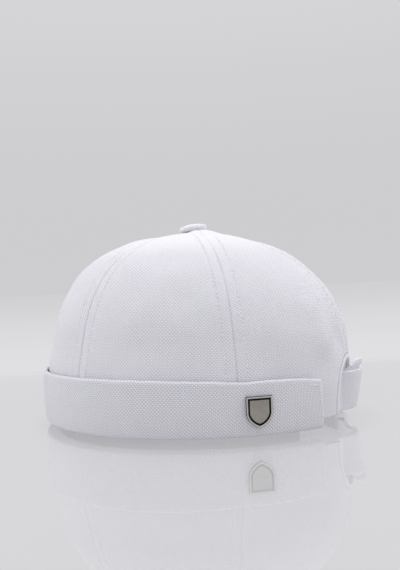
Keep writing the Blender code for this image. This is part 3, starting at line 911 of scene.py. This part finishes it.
sweep = section_tree()
cuff_top = CUFF_HEIGHTS[0][1] * MM
fold = CUFF_CLOTH / 2.0
inner_face = -CROWN_INSET - CROWN_CLOTH - CUFF_INNER_ROOM
innermost = inner_face - CUFF_CLOTH
outside = evenly(
    arc((CUFF_LEAN - fold, cuff_top - fold), fold, 90.0, 0.0)
    + arc((-CUFF_FOOT_ROUND, CUFF_FOOT_ROUND), CUFF_FOOT_ROUND, 0.0, -90.0)
    + arc((innermost + CUFF_FOOT_ROUND, CUFF_FOOT_ROUND), CUFF_FOOT_ROUND, -90.0, -180.0)
    + arc((inner_face - fold, CUFF_INNER_TOP - fold), fold, 180.0, 90.0),
    CUFF_SIDE_POINTS,
)
slot_floor = CUFF_TURN + CUFF_SLOT_ROUND
inside = evenly(
    arc((CUFF_LEAN - fold, cuff_top - fold), fold, 90.0, 180.0)
    + arc((-CUFF_CLOTH - CUFF_SLOT_ROUND, slot_floor), CUFF_SLOT_ROUND, 0.0, -90.0)
    + arc((inner_face + CUFF_SLOT_ROUND, slot_floor), CUFF_SLOT_ROUND, -90.0, -180.0)
    + arc((inner_face - fold, CUFF_INNER_TOP - fold), fold, 0.0, 90.0),
    CUFF_SIDE_POINTS,
)
cloth = np.concatenate([-running_length(outside)[::-1], running_length(inside)[1:-1]])
for side in (outside, inside):
    level = np.clip(side[:, 1] / cuff_top, 0.0, 1.0)
    on_outer_leg = side[:, 0] > -CROWN_INSET - 0.5 * CROWN_CLOTH
    side[:, 0] += cuff_bulge(level) * on_outer_leg
section = np.concatenate([outside[::-1], inside[1:-1]])
opposite = np.concatenate([inside[::-1], outside[1:-1]])
on_outer_leg = section[:, 0] > -CROWN_INSET - 0.5 * CROWN_CLOTH
free = on_outer_leg * np.clip(section[:, 1] / cuff_top, 0.0, 1.0)
rough_angles = np.linspace(-CUFF_END, CUFF_END, 2000)
rough_run = running_length(oval(rough_angles))
shares = with_fine_ends(CUFF_STEPS, CUFF_END_ROUND / rough_run[-1])
angles = np.interp(shares, rough_run / rough_run[-1], rough_angles)
path = oval(angles)
run = running_length(path)
waves = hills(run, CUFF_WAVES[0], 7.7, 0.3)
ripples = hills(run, CUFF_RIPPLES[0], 2.2, 5.1)
billow = CUFF_BILLOW * (CUFF_WAVES[1] * waves + CUFF_RIPPLES[1] * ripples)
from_end = np.minimum(run, run[-1] - run)
along_path = unit(np.gradient(path, axis=0))
slant = CUFF_END_SLANT * nearness(from_end, CUFF_END_SLANT_REACH) * np.sign(angles)
cuff_canvas = canvas_material("cuff canvas", 0.17 * MM, 1.35, lit_pressed_ends=float(run[-1]))
cuff = carry_section(
    "cuff_cloth", section, (section + opposite) / 2.0, free, cloth, path, cuff_canvas,
    outward=oval(angles, 1.0) - path,
    upward=np.array((0.0, 0.0, 1.0)) - along_path * slant[:, None],
    fullness=rounded_end(from_end, CUFF_END_ROUND),
    stretch=smooth_table(CUFF_HEIGHTS, np.abs(angles)) * MM / cuff_top - 1.0 + CUFF_RIPPLE * ripples,
    billow=billow + CUFF_END_SWELL * nearness(from_end, CUFF_END_SWELL_REACH),
)
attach(cuff, "root")
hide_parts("cuff")

# Bartacks
# A short close row of upright stitches at the top of each free end of the cuff, where its layers are
# sewn to the crown. Laid by the same tree as the topstitching.
BARTACK_HEIGHT = 24.6 * MM
BARTACK_FROM_END = 4.4 * MM
BARTACK_STITCHES = 8
BARTACK_PITCH = 0.62 * MM
BARTACK_THREAD_HALF = 0.65 * MM
BARTACK_FATTER = 1.1
BARTACK_TURN = 0.3

tack_mesh = stitch_mesh.copy()
tack_mesh.name = "bartack_stitch"
shrink = 2.0 * BARTACK_THREAD_HALF / STITCH_LENGTH
tack_mesh.transform(Matrix.Diagonal((shrink, BARTACK_FATTER, BARTACK_FATTER, 1.0)))
tack_stitch = bpy.data.objects.new("bartack_stitch", tack_mesh)
at = BARTACK_FROM_END + BARTACK_PITCH * np.arange(BARTACK_STITCHES)
at = np.concatenate([at, run[-1] - at])
tack_angles = np.interp(at, run, angles)
level = BARTACK_HEIGHT / cuff_top
stand = (CUFF_LEAN + np.interp(at, run, billow)) * level + cuff_bulge(level)
tack_points = np.stack([oval(a, o) for a, o in zip(tack_angles, stand)]) + (0.0, 0.0, BARTACK_HEIGHT)
tack_out = oval(tack_angles, 1.0) - oval(tack_angles)
tack_up = np.tile((0.0, 0.0, 1.0), (len(at), 1))
bartacks = points_mesh("cuff_bartacks", tack_points, forward=tack_up, outward=tack_out)
grow(bartacks, stitches, Stitch=tack_stitch, Turn=BARTACK_TURN, Seed=STITCH_SEED, Finish=thread)
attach(bartacks, "root")

# Binding tape
# A narrow bias tape of smooth cotton, folded over the arch opening's cut edge and sewn through in the
# ditch beside its fold. The same tree carries its section round the arch.
TAPE_WIDTH = 2.6 * MM
TAPE_PROUD = 0.5 * MM
TAPE_LAP = 0.4 * MM
TAPE_THREAD = 0.5 * MM
TAPE_ROUND = 0.6 * MM
TAPE_STEPS = 240
TAPE_POINTS = 56

tape_cloth = canvas_material("binding tape", 0.04 * MM, 0.6, TAPE_THREAD)
outermost, within = TAPE_PROUD, -CROWN_CLOTH - TAPE_PROUD
core_out = (outermost + within) / 2.0
bend = (outermost - within) / 2.0
one_side = [(-0.25 * MM, -TAPE_LAP), (outermost - 0.2 * MM, -TAPE_LAP), (outermost, 0.25 * MM)]
fold_over = arc((core_out, TAPE_WIDTH - bend), bend, 0.0, 180.0, 14)
other_side = [(2.0 * core_out - out, inset) for out, inset in reversed(one_side)]
section = evenly(one_side + fold_over + other_side, TAPE_POINTS)[::-1]
edge, edge_normal = arch_line(0.0, 0.0, 2 * TAPE_STEPS)
within_edge, _ = arch_line(1.0 * MM, 0.0, 2 * TAPE_STEPS)
first, last = np.flatnonzero(edge[:, 2] > CROWN_HEM + 0.01 * MM)[[0, -1]]
edge, edge_normal, within_edge = [rows[first:last + 1] for rows in (edge, edge_normal, within_edge)]
edge_run = running_length(edge)
at = with_fine_ends(TAPE_STEPS, TAPE_ROUND / edge_run[-1]) * edge_run[-1]
path, normal, towards = [
    points_at(at, edge_run, rows) for rows in (edge, edge_normal, within_edge - edge)
]
binding = carry_section(
    "opening_binding_tape", section, np.column_stack([np.full(len(section), core_out), section[:, 1]]),
    np.zeros(len(section)), running_length(section), path, tape_cloth,
    outward=normal,
    upward=unit(towards),
    fullness=rounded_end(np.minimum(at, at[-1] - at), TAPE_ROUND),
    stretch=np.zeros(len(path)),
    billow=np.zeros(len(path)),
)
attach(binding, "root")
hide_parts("opening_binding")

# Strap
# Two tabs of doubled, smooth-faced canvas, sewn inside the opening's edges: the left one laps over the
# right one and is fastened on it. Each stands off the crown as its table says.
STRAP_CLOTH = 1.8 * MM
STRAP_LOW = 3.9 * MM
STRAP_HIGH = 27.5 * MM
STRAP_LEAN = 0.19
STRAP_CURL = (1.3 * MM, 27.5 * MM, 31.0 * MM)
STRAP_CORNER = 6.0 * MM
STRAP_BLUNT = 0.5 * MM
STRAP_WAVE = 0.35 * MM
STRAP_WAVE_SIZE = 16.0 * MM
STRAP_THINNEST = 0.12
STRAP_THREAD = 0.6 * MM
STRAP_COLUMNS = 150
STRAP_ROWS = 60
OUTER_TAB = (
    # angle, distance of the outer face from the crown's outer face in mm, top edge in mm
    (154.0, -2.3, 27.5),
    (160.0, -2.5, 27.5),
    (165.5, -2.7, 27.5),
    (169.5, -2.7, 27.5),
    (171.5, -2.4, 27.5),
    (174.0, 0.0, 27.5),
    (177.0, 2.9, 27.5),
    (180.0, 4.5, 27.5),
    (185.0, 5.5, 27.5),
    (190.0, 5.4, 27.5),
    (195.0, 4.6, 27.5),
    (199.0, 3.6, 27.5),
)
INNER_TAB = (
    # angle, distance of the outer face from the crown's outer face in mm, top edge in mm
    (176.3, 0.0, 33.2),
    (178.0, 1.0, 33.6),
    (181.0, 2.4, 33.8),
    (184.0, 3.4, 33.6),
    (186.0, 3.5, 33.0),
    (187.5, 2.4, 31.5),
    (188.7, 0.2, 29.0),
    (190.0, -2.2, 25.5),
    (191.5, -2.8, 22.5),
    (200.0, -2.7, 22.0),
    (206.0, -2.3, 22.0),
)

strap_canvas = canvas_material("strap canvas", 0.05 * MM, 0.6, STRAP_THREAD)
strap_inside = canvas_material("strap inside", 0.05 * MM, 0.6, STRAP_THREAD, glow=INSIDE_GLOW)


def tab_grids(table, free_end, freed):
    """Outer and inner faces of a strap tab, its edges rounded and its free corners too."""
    first, last = table[0][0], table[-1][0]
    length = np.linalg.norm(oval(last) - oval(first))
    edge_share = 0.5 * STRAP_CLOTH / length
    angle = first + (last - first) * with_fine_ends(STRAP_COLUMNS, edge_share)
    stand = smooth_table(table, angle) * MM
    from_end = np.linalg.norm(oval(angle) - oval(free_end), axis=-1) + STRAP_BLUNT
    corner = STRAP_CORNER - np.sqrt(STRAP_CORNER**2 - np.maximum(STRAP_CORNER - from_end, 0.0) ** 2)
    bottom = STRAP_LOW + corner
    top = smooth_table(table, angle, 2) * MM - corner
    share = with_fine_ends(STRAP_ROWS, 0.5 * STRAP_CLOTH / (STRAP_HIGH - STRAP_LOW))[:, None]
    height = bottom + (top - bottom) * share
    standing_free = smooth_step(*freed, angle)
    lean = STRAP_LEAN * (height - (STRAP_LOW + STRAP_HIGH) / 2.0) * standing_free
    lean = lean + STRAP_CURL[0] * smooth_step(*STRAP_CURL[1:], height) * standing_free
    rise = np.arcsin(height / CROWN_HEIGHT)
    angle = np.broadcast_to(angle, height.shape)
    outer = crown_skin(angle, rise) + crown_normal(angle, rise) * (stand + lean)[..., None]
    normal = unit(np.cross(np.gradient(outer, axis=1), np.gradient(outer, axis=0)))
    outer = outer + normal * (STRAP_WAVE * wander(outer, STRAP_WAVE_SIZE, 3.0))[..., None]
    along, up = running_length(outer), np.swapaxes(running_length(np.swapaxes(outer, 0, 1)), 0, 1)
    from_edge = np.minimum(
        np.minimum(along, along[:, -1:] - along), np.minimum(up, up[-1:] - up)
    )
    half = 0.5 * STRAP_CLOTH * np.maximum(rounded_end(from_edge, 0.5 * STRAP_CLOTH), STRAP_THINNEST)
    middle = outer - normal * 0.5 * STRAP_CLOTH
    return middle + normal * half[..., None], middle - normal * half[..., None], np.stack([along, up], -1)


for name, table, free_end, freed in (
    ("strap_outer", OUTER_TAB, OUTER_TAB[-1][0], (171.5, 178.0)),
    ("strap_inner", INNER_TAB, INNER_TAB[0][0], (190.0, 187.0)),
):
    outer, inner, weave = tab_grids(table, free_end, freed)
    tab = shell_object(f"{name}_cloth", outer, inner, {"weave": weave}, strap_canvas, strap_inside)
    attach(tab, "root")
    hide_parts(name)

# Button
# A round covered button where the six panels meet: canvas gathered over a shallow dome, its lip curled
# under, so that a dark gap shows below it. Turned about its axis, with small pleats round the lip.
BUTTON_SHAPE = (
    # distance from the axis in mm, height over the crown's top in mm
    (0.0, 0.1),
    (5.0, 0.1),
    (6.4, 0.8),
    (7.7, 1.2),
    (8.7, 1.8),
    (9.15, 2.6),
    (9.05, 3.4),
    (8.5, 4.1),
    (7.2, 4.8),
    (5.0, 5.4),
    (2.6, 5.75),
    (0.0, 5.85),
)
BUTTON_PLEATS = 19
BUTTON_PLEAT_DEPTH = 0.13 * MM
BUTTON_LIP = 8.6 * MM
BUTTON_LIP_WIDTH = 1.3 * MM
BUTTON_UNEVEN = 0.25 * MM
BUTTON_TILT = 6.0
BUTTON_SIDES = 120
BUTTON_ROWS = 56

shape = np.array(BUTTON_SHAPE) * MM
rough = running_length(shape)
at = np.linspace(0.0, rough[-1], BUTTON_ROWS)
profile = np.stack([smooth_table(np.column_stack([rough, shape]), at, k) for k in (1, 2)], axis=-1)
profile[:, 0] = np.maximum(profile[:, 0], 0.0)
arc_from_top = rough[-1] - at
turn = np.linspace(0.0, 2.0 * math.pi, BUTTON_SIDES, endpoint=False)
near_lip = nearness(profile[:, 0] - BUTTON_LIP, BUTTON_LIP_WIDTH)
uneven = np.array([noise.noise(Vector((2.0 * math.cos(t), 2.0 * math.sin(t), 3.3))) for t in turn])
pleat = BUTTON_PLEAT_DEPTH * np.sin(BUTTON_PLEATS * turn + 3.0 * uneven)
radius = profile[:, :1] + near_lip[:, None] * pleat
height = profile[:, 1:] + 0.7 * near_lip[:, None] * (pleat + BUTTON_UNEVEN * uneven)
grid = np.stack([radius * np.cos(turn), radius * np.sin(turn), np.broadcast_to(height, radius.shape)], -1)
maker = bmesh.new()
weave_layer = maker.loops.layers.uv.new("weave")
lowest, highest = maker.verts.new((0.0, 0.0, profile[0, 1])), maker.verts.new((0.0, 0.0, profile[-1, 1]))
rings = [[lowest] * BUTTON_SIDES] + [[maker.verts.new(p) for p in row] for row in grid[1:-1]]
rings.append([highest] * BUTTON_SIDES)
for j in range(BUTTON_ROWS - 1):
    for i in range(BUTTON_SIDES):
        k = (i + 1) % BUTTON_SIDES
        # A face beside the middle has only three corners
        corners = ((j, i), (j, k), (j + 1, k), (j + 1, i))
        used = dict.fromkeys(rings[row][side] for row, side in corners)
        face = maker.faces.new(list(used))
        for loop in face.loops:
            row, side = next((r, s) for r, s in corners if rings[r][s] is loop.vert)
            reach = arc_from_top[row]
            loop[weave_layer].uv = (reach * math.cos(turn[side]), reach * math.sin(turn[side]))
bmesh.ops.rotate(maker, verts=maker.verts, matrix=Matrix.Rotation(math.radians(BUTTON_TILT), 3, "X"))
bmesh.ops.translate(maker, verts=maker.verts, vec=(0.0, OVAL_CENTRE_Y, CROWN_HEIGHT))
button_mesh = end_mesh(maker, bpy.data.meshes.new("top_button_cloth"))
button_mesh.shade_smooth()
button_mesh.materials.append(canvas_material("button canvas", 0.08 * MM, 0.5))
button = add_object("top_button_cloth", button_mesh)
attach(button, "root")
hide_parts("top_button")

# Badge
# A small cast shield on the cuff's left side: a bright bevelled rim, a black enamelled groove and a
# plain brushed face. Made of the same outline at one inset after another.
BADGE_ANGLE = 126.4
BADGE_MIDDLE = 13.8 * MM
BADGE_WIDTH = 14.6 * MM
BADGE_HEIGHT = 17.0 * MM
BADGE_GAP = 0.15 * MM
BADGE_SLOPE_OVER = 0.2
BADGE_CURVE = 0.75
BADGE_POINT_INSET = 1.25
BADGE_STEPS = 26
UPWARDS = Vector((0.0, 0.0, 1.0))
BADGE_RINGS = (
    # inset of the outline in mm, height over the badge's back in mm, finish from there to the next ring
    (0.15, 0.0, "side"),
    (0.0, 0.2, "side"),
    (0.0, 1.25, "side"),
    (0.12, 1.5, "rim"),
    (0.35, 1.68, "rim"),
    (0.6, 1.72, "rim"),
    (0.88, 1.66, "rim"),
    (0.98, 1.5, "enamel"),
    (1.04, 1.3, "enamel"),
    (1.92, 1.3, "enamel"),
    (1.98, 1.5, "face"),
    (2.15, 1.6, "face"),
    (3.4, 1.7, "face"),
    (5.2, 1.75, "face"),
)
# Heights over which the metal goes from lighter below to darker above
BADGE_TONE_HEIGHTS = (20.0 * MM, 7.0 * MM)


def metal_material(name, colour, dark, roughness, brushed):
    """Cast pewter, mottled and brushed along one way, with grime in its scratches."""
    material, tree, shader = new_material(name)
    place = node(tree, "ShaderNodeTexCoord", out="Object")
    stretched = vectors(tree, "MULTIPLY", place, (1.0, 1.0, 0.08 if brushed else 1.0))
    scratches = grain(tree, stretched, 2600.0, 3.0)
    mottle = grain(tree, place, 330.0, 2.0)
    share = calculate(tree, "MULTIPLY_ADD", scratches, 0.6, calculate(tree, "MULTIPLY", mottle, 0.4))
    # Darker towards the top of the badge, lighter towards its bottom
    lighter_below = blend(tree, part(tree, place, "Z"), BADGE_TONE_HEIGHTS, (-0.2, 0.15), "LINEAR")
    put(
        tree, shader,
        Base_Color=mix(tree, calculate(tree, "ADD", share, lighter_below), dark, colour),
        Roughness=calculate(tree, "MULTIPLY_ADD", scratches, 0.25, roughness - 0.12),
        Normal=bumps(tree, 0.5, 0.03 * MM, scratches), Metallic=1.0,
    )
    return material


def enamel_material():
    """Black enamel, a little uneven where it was filled in."""
    material, tree, shader = new_material("black enamel")
    uneven = grain(tree, node(tree, "ShaderNodeTexCoord", out="Object"), 900.0, 2.0)
    put(
        tree, shader,
        Base_Color=mix(tree, uneven, (0.003, 0.003, 0.003, 1.0), (0.010, 0.010, 0.009, 1.0)),
        Normal=bumps(tree, 0.4, 0.04 * MM, uneven), Roughness=0.5, Specular_IOR_Level=0.12,
    )
    return material


def shield_outline(inset):
    """Outline of the badge: flat top, straight sides, then curving in to a point below."""
    half = BADGE_WIDTH / 2.0 - inset
    top = BADGE_HEIGHT / 2.0 - inset
    point = -BADGE_HEIGHT / 2.0 + BADGE_POINT_INSET * inset
    share = np.linspace(0.0, 1.0, BADGE_STEPS + 1)
    outline = [(half, top)] + [(half * (1.0 - s * s) ** BADGE_CURVE, point * s) for s in share]
    return outline + [(-x, y) for x, y in reversed(outline[:-1])]


# The side walls are dark as painted shade, for the dark outline round the badge
finishes = {
    finish: metal_material(name, (*colour, 1.0), (*dark, 1.0), roughness, finish == "face")
    for finish, name, colour, dark, roughness in (
        ("side", "tarnished side", (0.16, 0.15, 0.14), (0.05, 0.047, 0.043), 0.5),
        ("rim", "pewter rim", (0.70, 0.69, 0.65), (0.42, 0.41, 0.38), 0.33),
        ("face", "pewter face", (0.50, 0.47, 0.43), (0.24, 0.215, 0.19), 0.42),
    )
}
finishes["enamel"] = enamel_material()
level = BADGE_MIDDLE / cuff_top
rise = cuff_bulge(level + BADGE_SLOPE_OVER) - cuff_bulge(level - BADGE_SLOPE_OVER)
slope = math.atan2(CUFF_LEAN + rise / (2.0 * BADGE_SLOPE_OVER), cuff_top)
middle = oval(BADGE_ANGLE, CUFF_LEAN * level + cuff_bulge(level))
across = Vector(oval(BADGE_ANGLE + 0.1) - oval(BADGE_ANGLE - 0.1)).normalized()
level_out = across.cross(UPWARDS)
up = UPWARDS * math.cos(slope) + level_out * math.sin(slope)
out = across.cross(up)
middle = Vector(middle) + UPWARDS * BADGE_MIDDLE
maker = bmesh.new()
rings = []
for inset, height, _ in BADGE_RINGS:
    away = out * (height * MM + BADGE_GAP)
    outline = shield_outline(inset * MM)
    rings.append([maker.verts.new(middle + across * x + up * y + away) for x, y in outline])
names = list(finishes)
for (here, there), (_, _, finish) in zip(zip(rings, rings[1:]), BADGE_RINGS):
    for i in range(len(here)):
        j = (i + 1) % len(here)
        maker.faces.new((here[i], here[j], there[j], there[i])).material_index = names.index(finish)
maker.faces.new(rings[0]).material_index = names.index("side")
maker.faces.new(rings[-1]).material_index = names.index("face")
badge_mesh = end_mesh(maker, bpy.data.meshes.new("badge_metal"))
badge_mesh.shade_smooth()
badge_mesh.set_sharp_from_angle(angle=math.radians(35.0))
for material in finishes.values():
    badge_mesh.materials.append(material)
badge = add_object("badge_metal", badge_mesh)
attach(badge, "root")
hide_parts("badge")

# Stage
# A glossy white table top lit from below, with a clear sheet on it that the cap stands on. Behind it
# lies matt paper, lit evenly. A pale studio and large soft lights overhead and at both sides.
CAMERA_ANGLE = 113.3
CAMERA_DISTANCE = 0.420
CAMERA_HEIGHT = 88.1 * MM
CAMERA_PITCH = 0.85
CAMERA_ROLL = -2.37
LENS_PIXELS = 629.0
SHIFT_PIXELS = 4.0
SENSOR_WIDTH = 36.0
PHOTO_HEIGHT = 570.0
TABLE_BEHIND = 0.2
TABLE_EDGE = 0.012
FLOOR_REACH = 4.0
SHEET_THICKNESS = 3.7 * MM
SHEET_DROP = 0.02 * MM
SHEET_CLEAR = (0.99, 0.99, 0.99, 1.0)
SHEET_GLOSS = 0.03
PAPER_TONES = (
    # distance from the table's far edge in m, brightness
    (0.0, 0.755),
    (0.36, 0.725),
    (1.34, 0.65),
    (3.8, 0.625),
)
STUDIO_TONES = (
    # sine of the height over the horizon, brightness behind the cap
    (0.0, 0.615),
    (0.147, 0.610),
    (0.281, 0.632),
    (0.395, 0.672),
)
FRONT_TONE = 0.80
FRONT_BEGINS = 0.15
BLUISH = 1.028
TABLE_TONE = (0.115, 0.115, 0.117, 1.0)
TABLE_GLOWS = (
    # distance behind the camera's foot point in m, glow
    (0.15, 0.505),
    (0.42, 0.462),
    (0.62, 0.468),
)
# The cap keeps a little of the room's light from the table: how much of it is left under the cap, and
# the shares of the oval's size between which the shade ends
CAP_SHADE = 0.93
CAP_SHADE_SHARES = (1.0, 1.2)
SOFT_LIGHTS = (
    # name, distance towards the camera's right, height, size, power
    ("overhead", 0.05, 1.0, 1.0, 3.2),
    ("left", -1.0, 0.35, 1.0, 4.0),
    ("right", 0.85, 0.75, 1.0, 3.6),
)

swing = math.radians(CAMERA_ANGLE)
towards_camera = Vector((math.sin(swing), -math.cos(swing), 0.0))
aside = Vector((math.cos(swing), math.sin(swing), 0.0))
centre = Vector((0.0, OVAL_CENTRE_Y, 0.0))


def tone_ramp(tree, value, table):
    """A smooth ramp of grey through a table of places and tones."""
    low, high = table[0][0], table[-1][0]
    share = calculate(tree, "DIVIDE", calculate(tree, "SUBTRACT", value, low), high - low)
    ramp = tree.nodes.new("ShaderNodeValToRGB")
    put(tree, ramp, Fac=share)
    ramp.color_ramp.interpolation = "B_SPLINE"
    for place, _ in table[1:-1]:
        ramp.color_ramp.elements.new((place - low) / (high - low))
    for element, (_, tone) in zip(ramp.color_ramp.elements, table):
        element.color = (tone, tone, tone * BLUISH, 1.0)
    return ramp.outputs[0]


# The table's top ends at TABLE_BEHIND, where the paper begins
floor_finish, tree, shader = new_material("glossy table and paper")
place = node(tree, "ShaderNodeTexCoord", out="Object")
behind = vectors(tree, "DOT_PRODUCT", place, -towards_camera, "Value")
from_foot = calculate(tree, "ADD", behind, CAMERA_DISTANCE)
beyond_edge = calculate(tree, "SUBTRACT", behind, TABLE_BEHIND)
from_middle = vectors(tree, "DIVIDE", place, (HALF_WIDTH, HALF_LENGTH, 1.0))
from_middle = vectors(tree, "LENGTH", from_middle, out="Value")
put(
    tree, shader,
    Base_Color=TABLE_TONE, IOR=1.5, Coat_Weight=1.0, Coat_IOR=1.8, Coat_Roughness=0.02,
    Roughness=calculate(tree, "MULTIPLY_ADD", grain(tree, place, 14.0, 3.0), 0.02, 0.01),
    Emission_Color=tone_ramp(tree, from_foot, TABLE_GLOWS),
    Emission_Strength=blend(tree, from_middle, CAP_SHADE_SHARES, (CAP_SHADE, 1.0)),
)
mixed = node(
    tree, "ShaderNodeMixShader",
    Fac=blend(tree, beyond_edge, (-TABLE_EDGE, TABLE_EDGE), (0.0, 1.0)),
    _1=shader.outputs[0],
    _2=node(tree, "ShaderNodeEmission", Color=tone_ramp(tree, beyond_edge, PAPER_TONES)),
)
put(tree, tree.nodes["Material Output"], Surface=mixed)

sheet_finish, tree, shader = new_material("clear sheet")
tree.nodes.remove(shader)
clear = node(tree, "ShaderNodeBsdfTransparent", Color=SHEET_CLEAR)
shine = node(tree, "ShaderNodeBsdfGlossy", Roughness=0.02)
mixed = node(tree, "ShaderNodeMixShader", Fac=SHEET_GLOSS, _1=clear, _2=shine)
put(tree, tree.nodes["Material Output"], Surface=mixed)

for name, drop, reach, finish in (
    ("floor", SHEET_THICKNESS, FLOOR_REACH, floor_finish),
    ("clear_sheet", SHEET_DROP, TABLE_BEHIND, sheet_finish),
):
    near, far = [centre + towards_camera * way - UPWARDS * drop for way in (FLOOR_REACH, -reach)]
    side = aside * FLOOR_REACH
    ground_mesh = bpy.data.meshes.new(name)
    ground_mesh.from_pydata([near - side, near + side, far + side, far - side], [], [(0, 1, 2, 3)])
    ground_mesh.materials.append(finish)
    ground = add_object(name, ground_mesh)

world = bpy.data.worlds.new("studio")
world.use_nodes = True
tree = world.node_tree
direction = node(tree, "ShaderNodeTexCoord", out="Generated")
facing = vectors(tree, "DOT_PRODUCT", direction, towards_camera, "Value")
in_front = blend(tree, facing, (-FRONT_BEGINS, FRONT_BEGINS), (0.0, 1.0))
behind_cap = tone_ramp(tree, part(tree, direction, "Z"), STUDIO_TONES)
front = (FRONT_TONE, FRONT_TONE, FRONT_TONE * BLUISH, 1.0)
put(tree, tree.nodes["Background"], Color=mix(tree, in_front, behind_cap, front))
bpy.context.scene.world = world

# The lights aren't mirrored in the table, where they would show as squares
for name, across, up, size, power in SOFT_LIGHTS:
    light_data = bpy.data.lights.new(name, "AREA")
    light_data.size = size
    light_data.energy = power
    light = add_object(name, light_data)
    light.location = centre + aside * across + UPWARDS * up
    light.rotation_euler = light.location.to_track_quat("Z", "Y").to_euler()
    light.visible_glossy = False

camera_data = bpy.data.cameras.new("camera")
camera_data.sensor_width = SENSOR_WIDTH
camera_data.lens = LENS_PIXELS / PHOTO_HEIGHT * SENSOR_WIDTH
camera_data.shift_x = SHIFT_PIXELS / PHOTO_HEIGHT
camera = add_object("camera", camera_data)
camera.location = centre + towards_camera * CAMERA_DISTANCE + UPWARDS * CAMERA_HEIGHT
pitch = math.radians(CAMERA_PITCH)
forward = -towards_camera * math.cos(pitch) - UPWARDS * math.sin(pitch)
roll = Matrix.Rotation(math.radians(CAMERA_ROLL), 3, "Z")
camera.rotation_euler = (forward.to_track_quat("-Z", "Y").to_matrix() @ roll).to_euler()
bpy.context.scene.camera = camera
bpy.context.scene.view_settings.view_transform = "Standard"
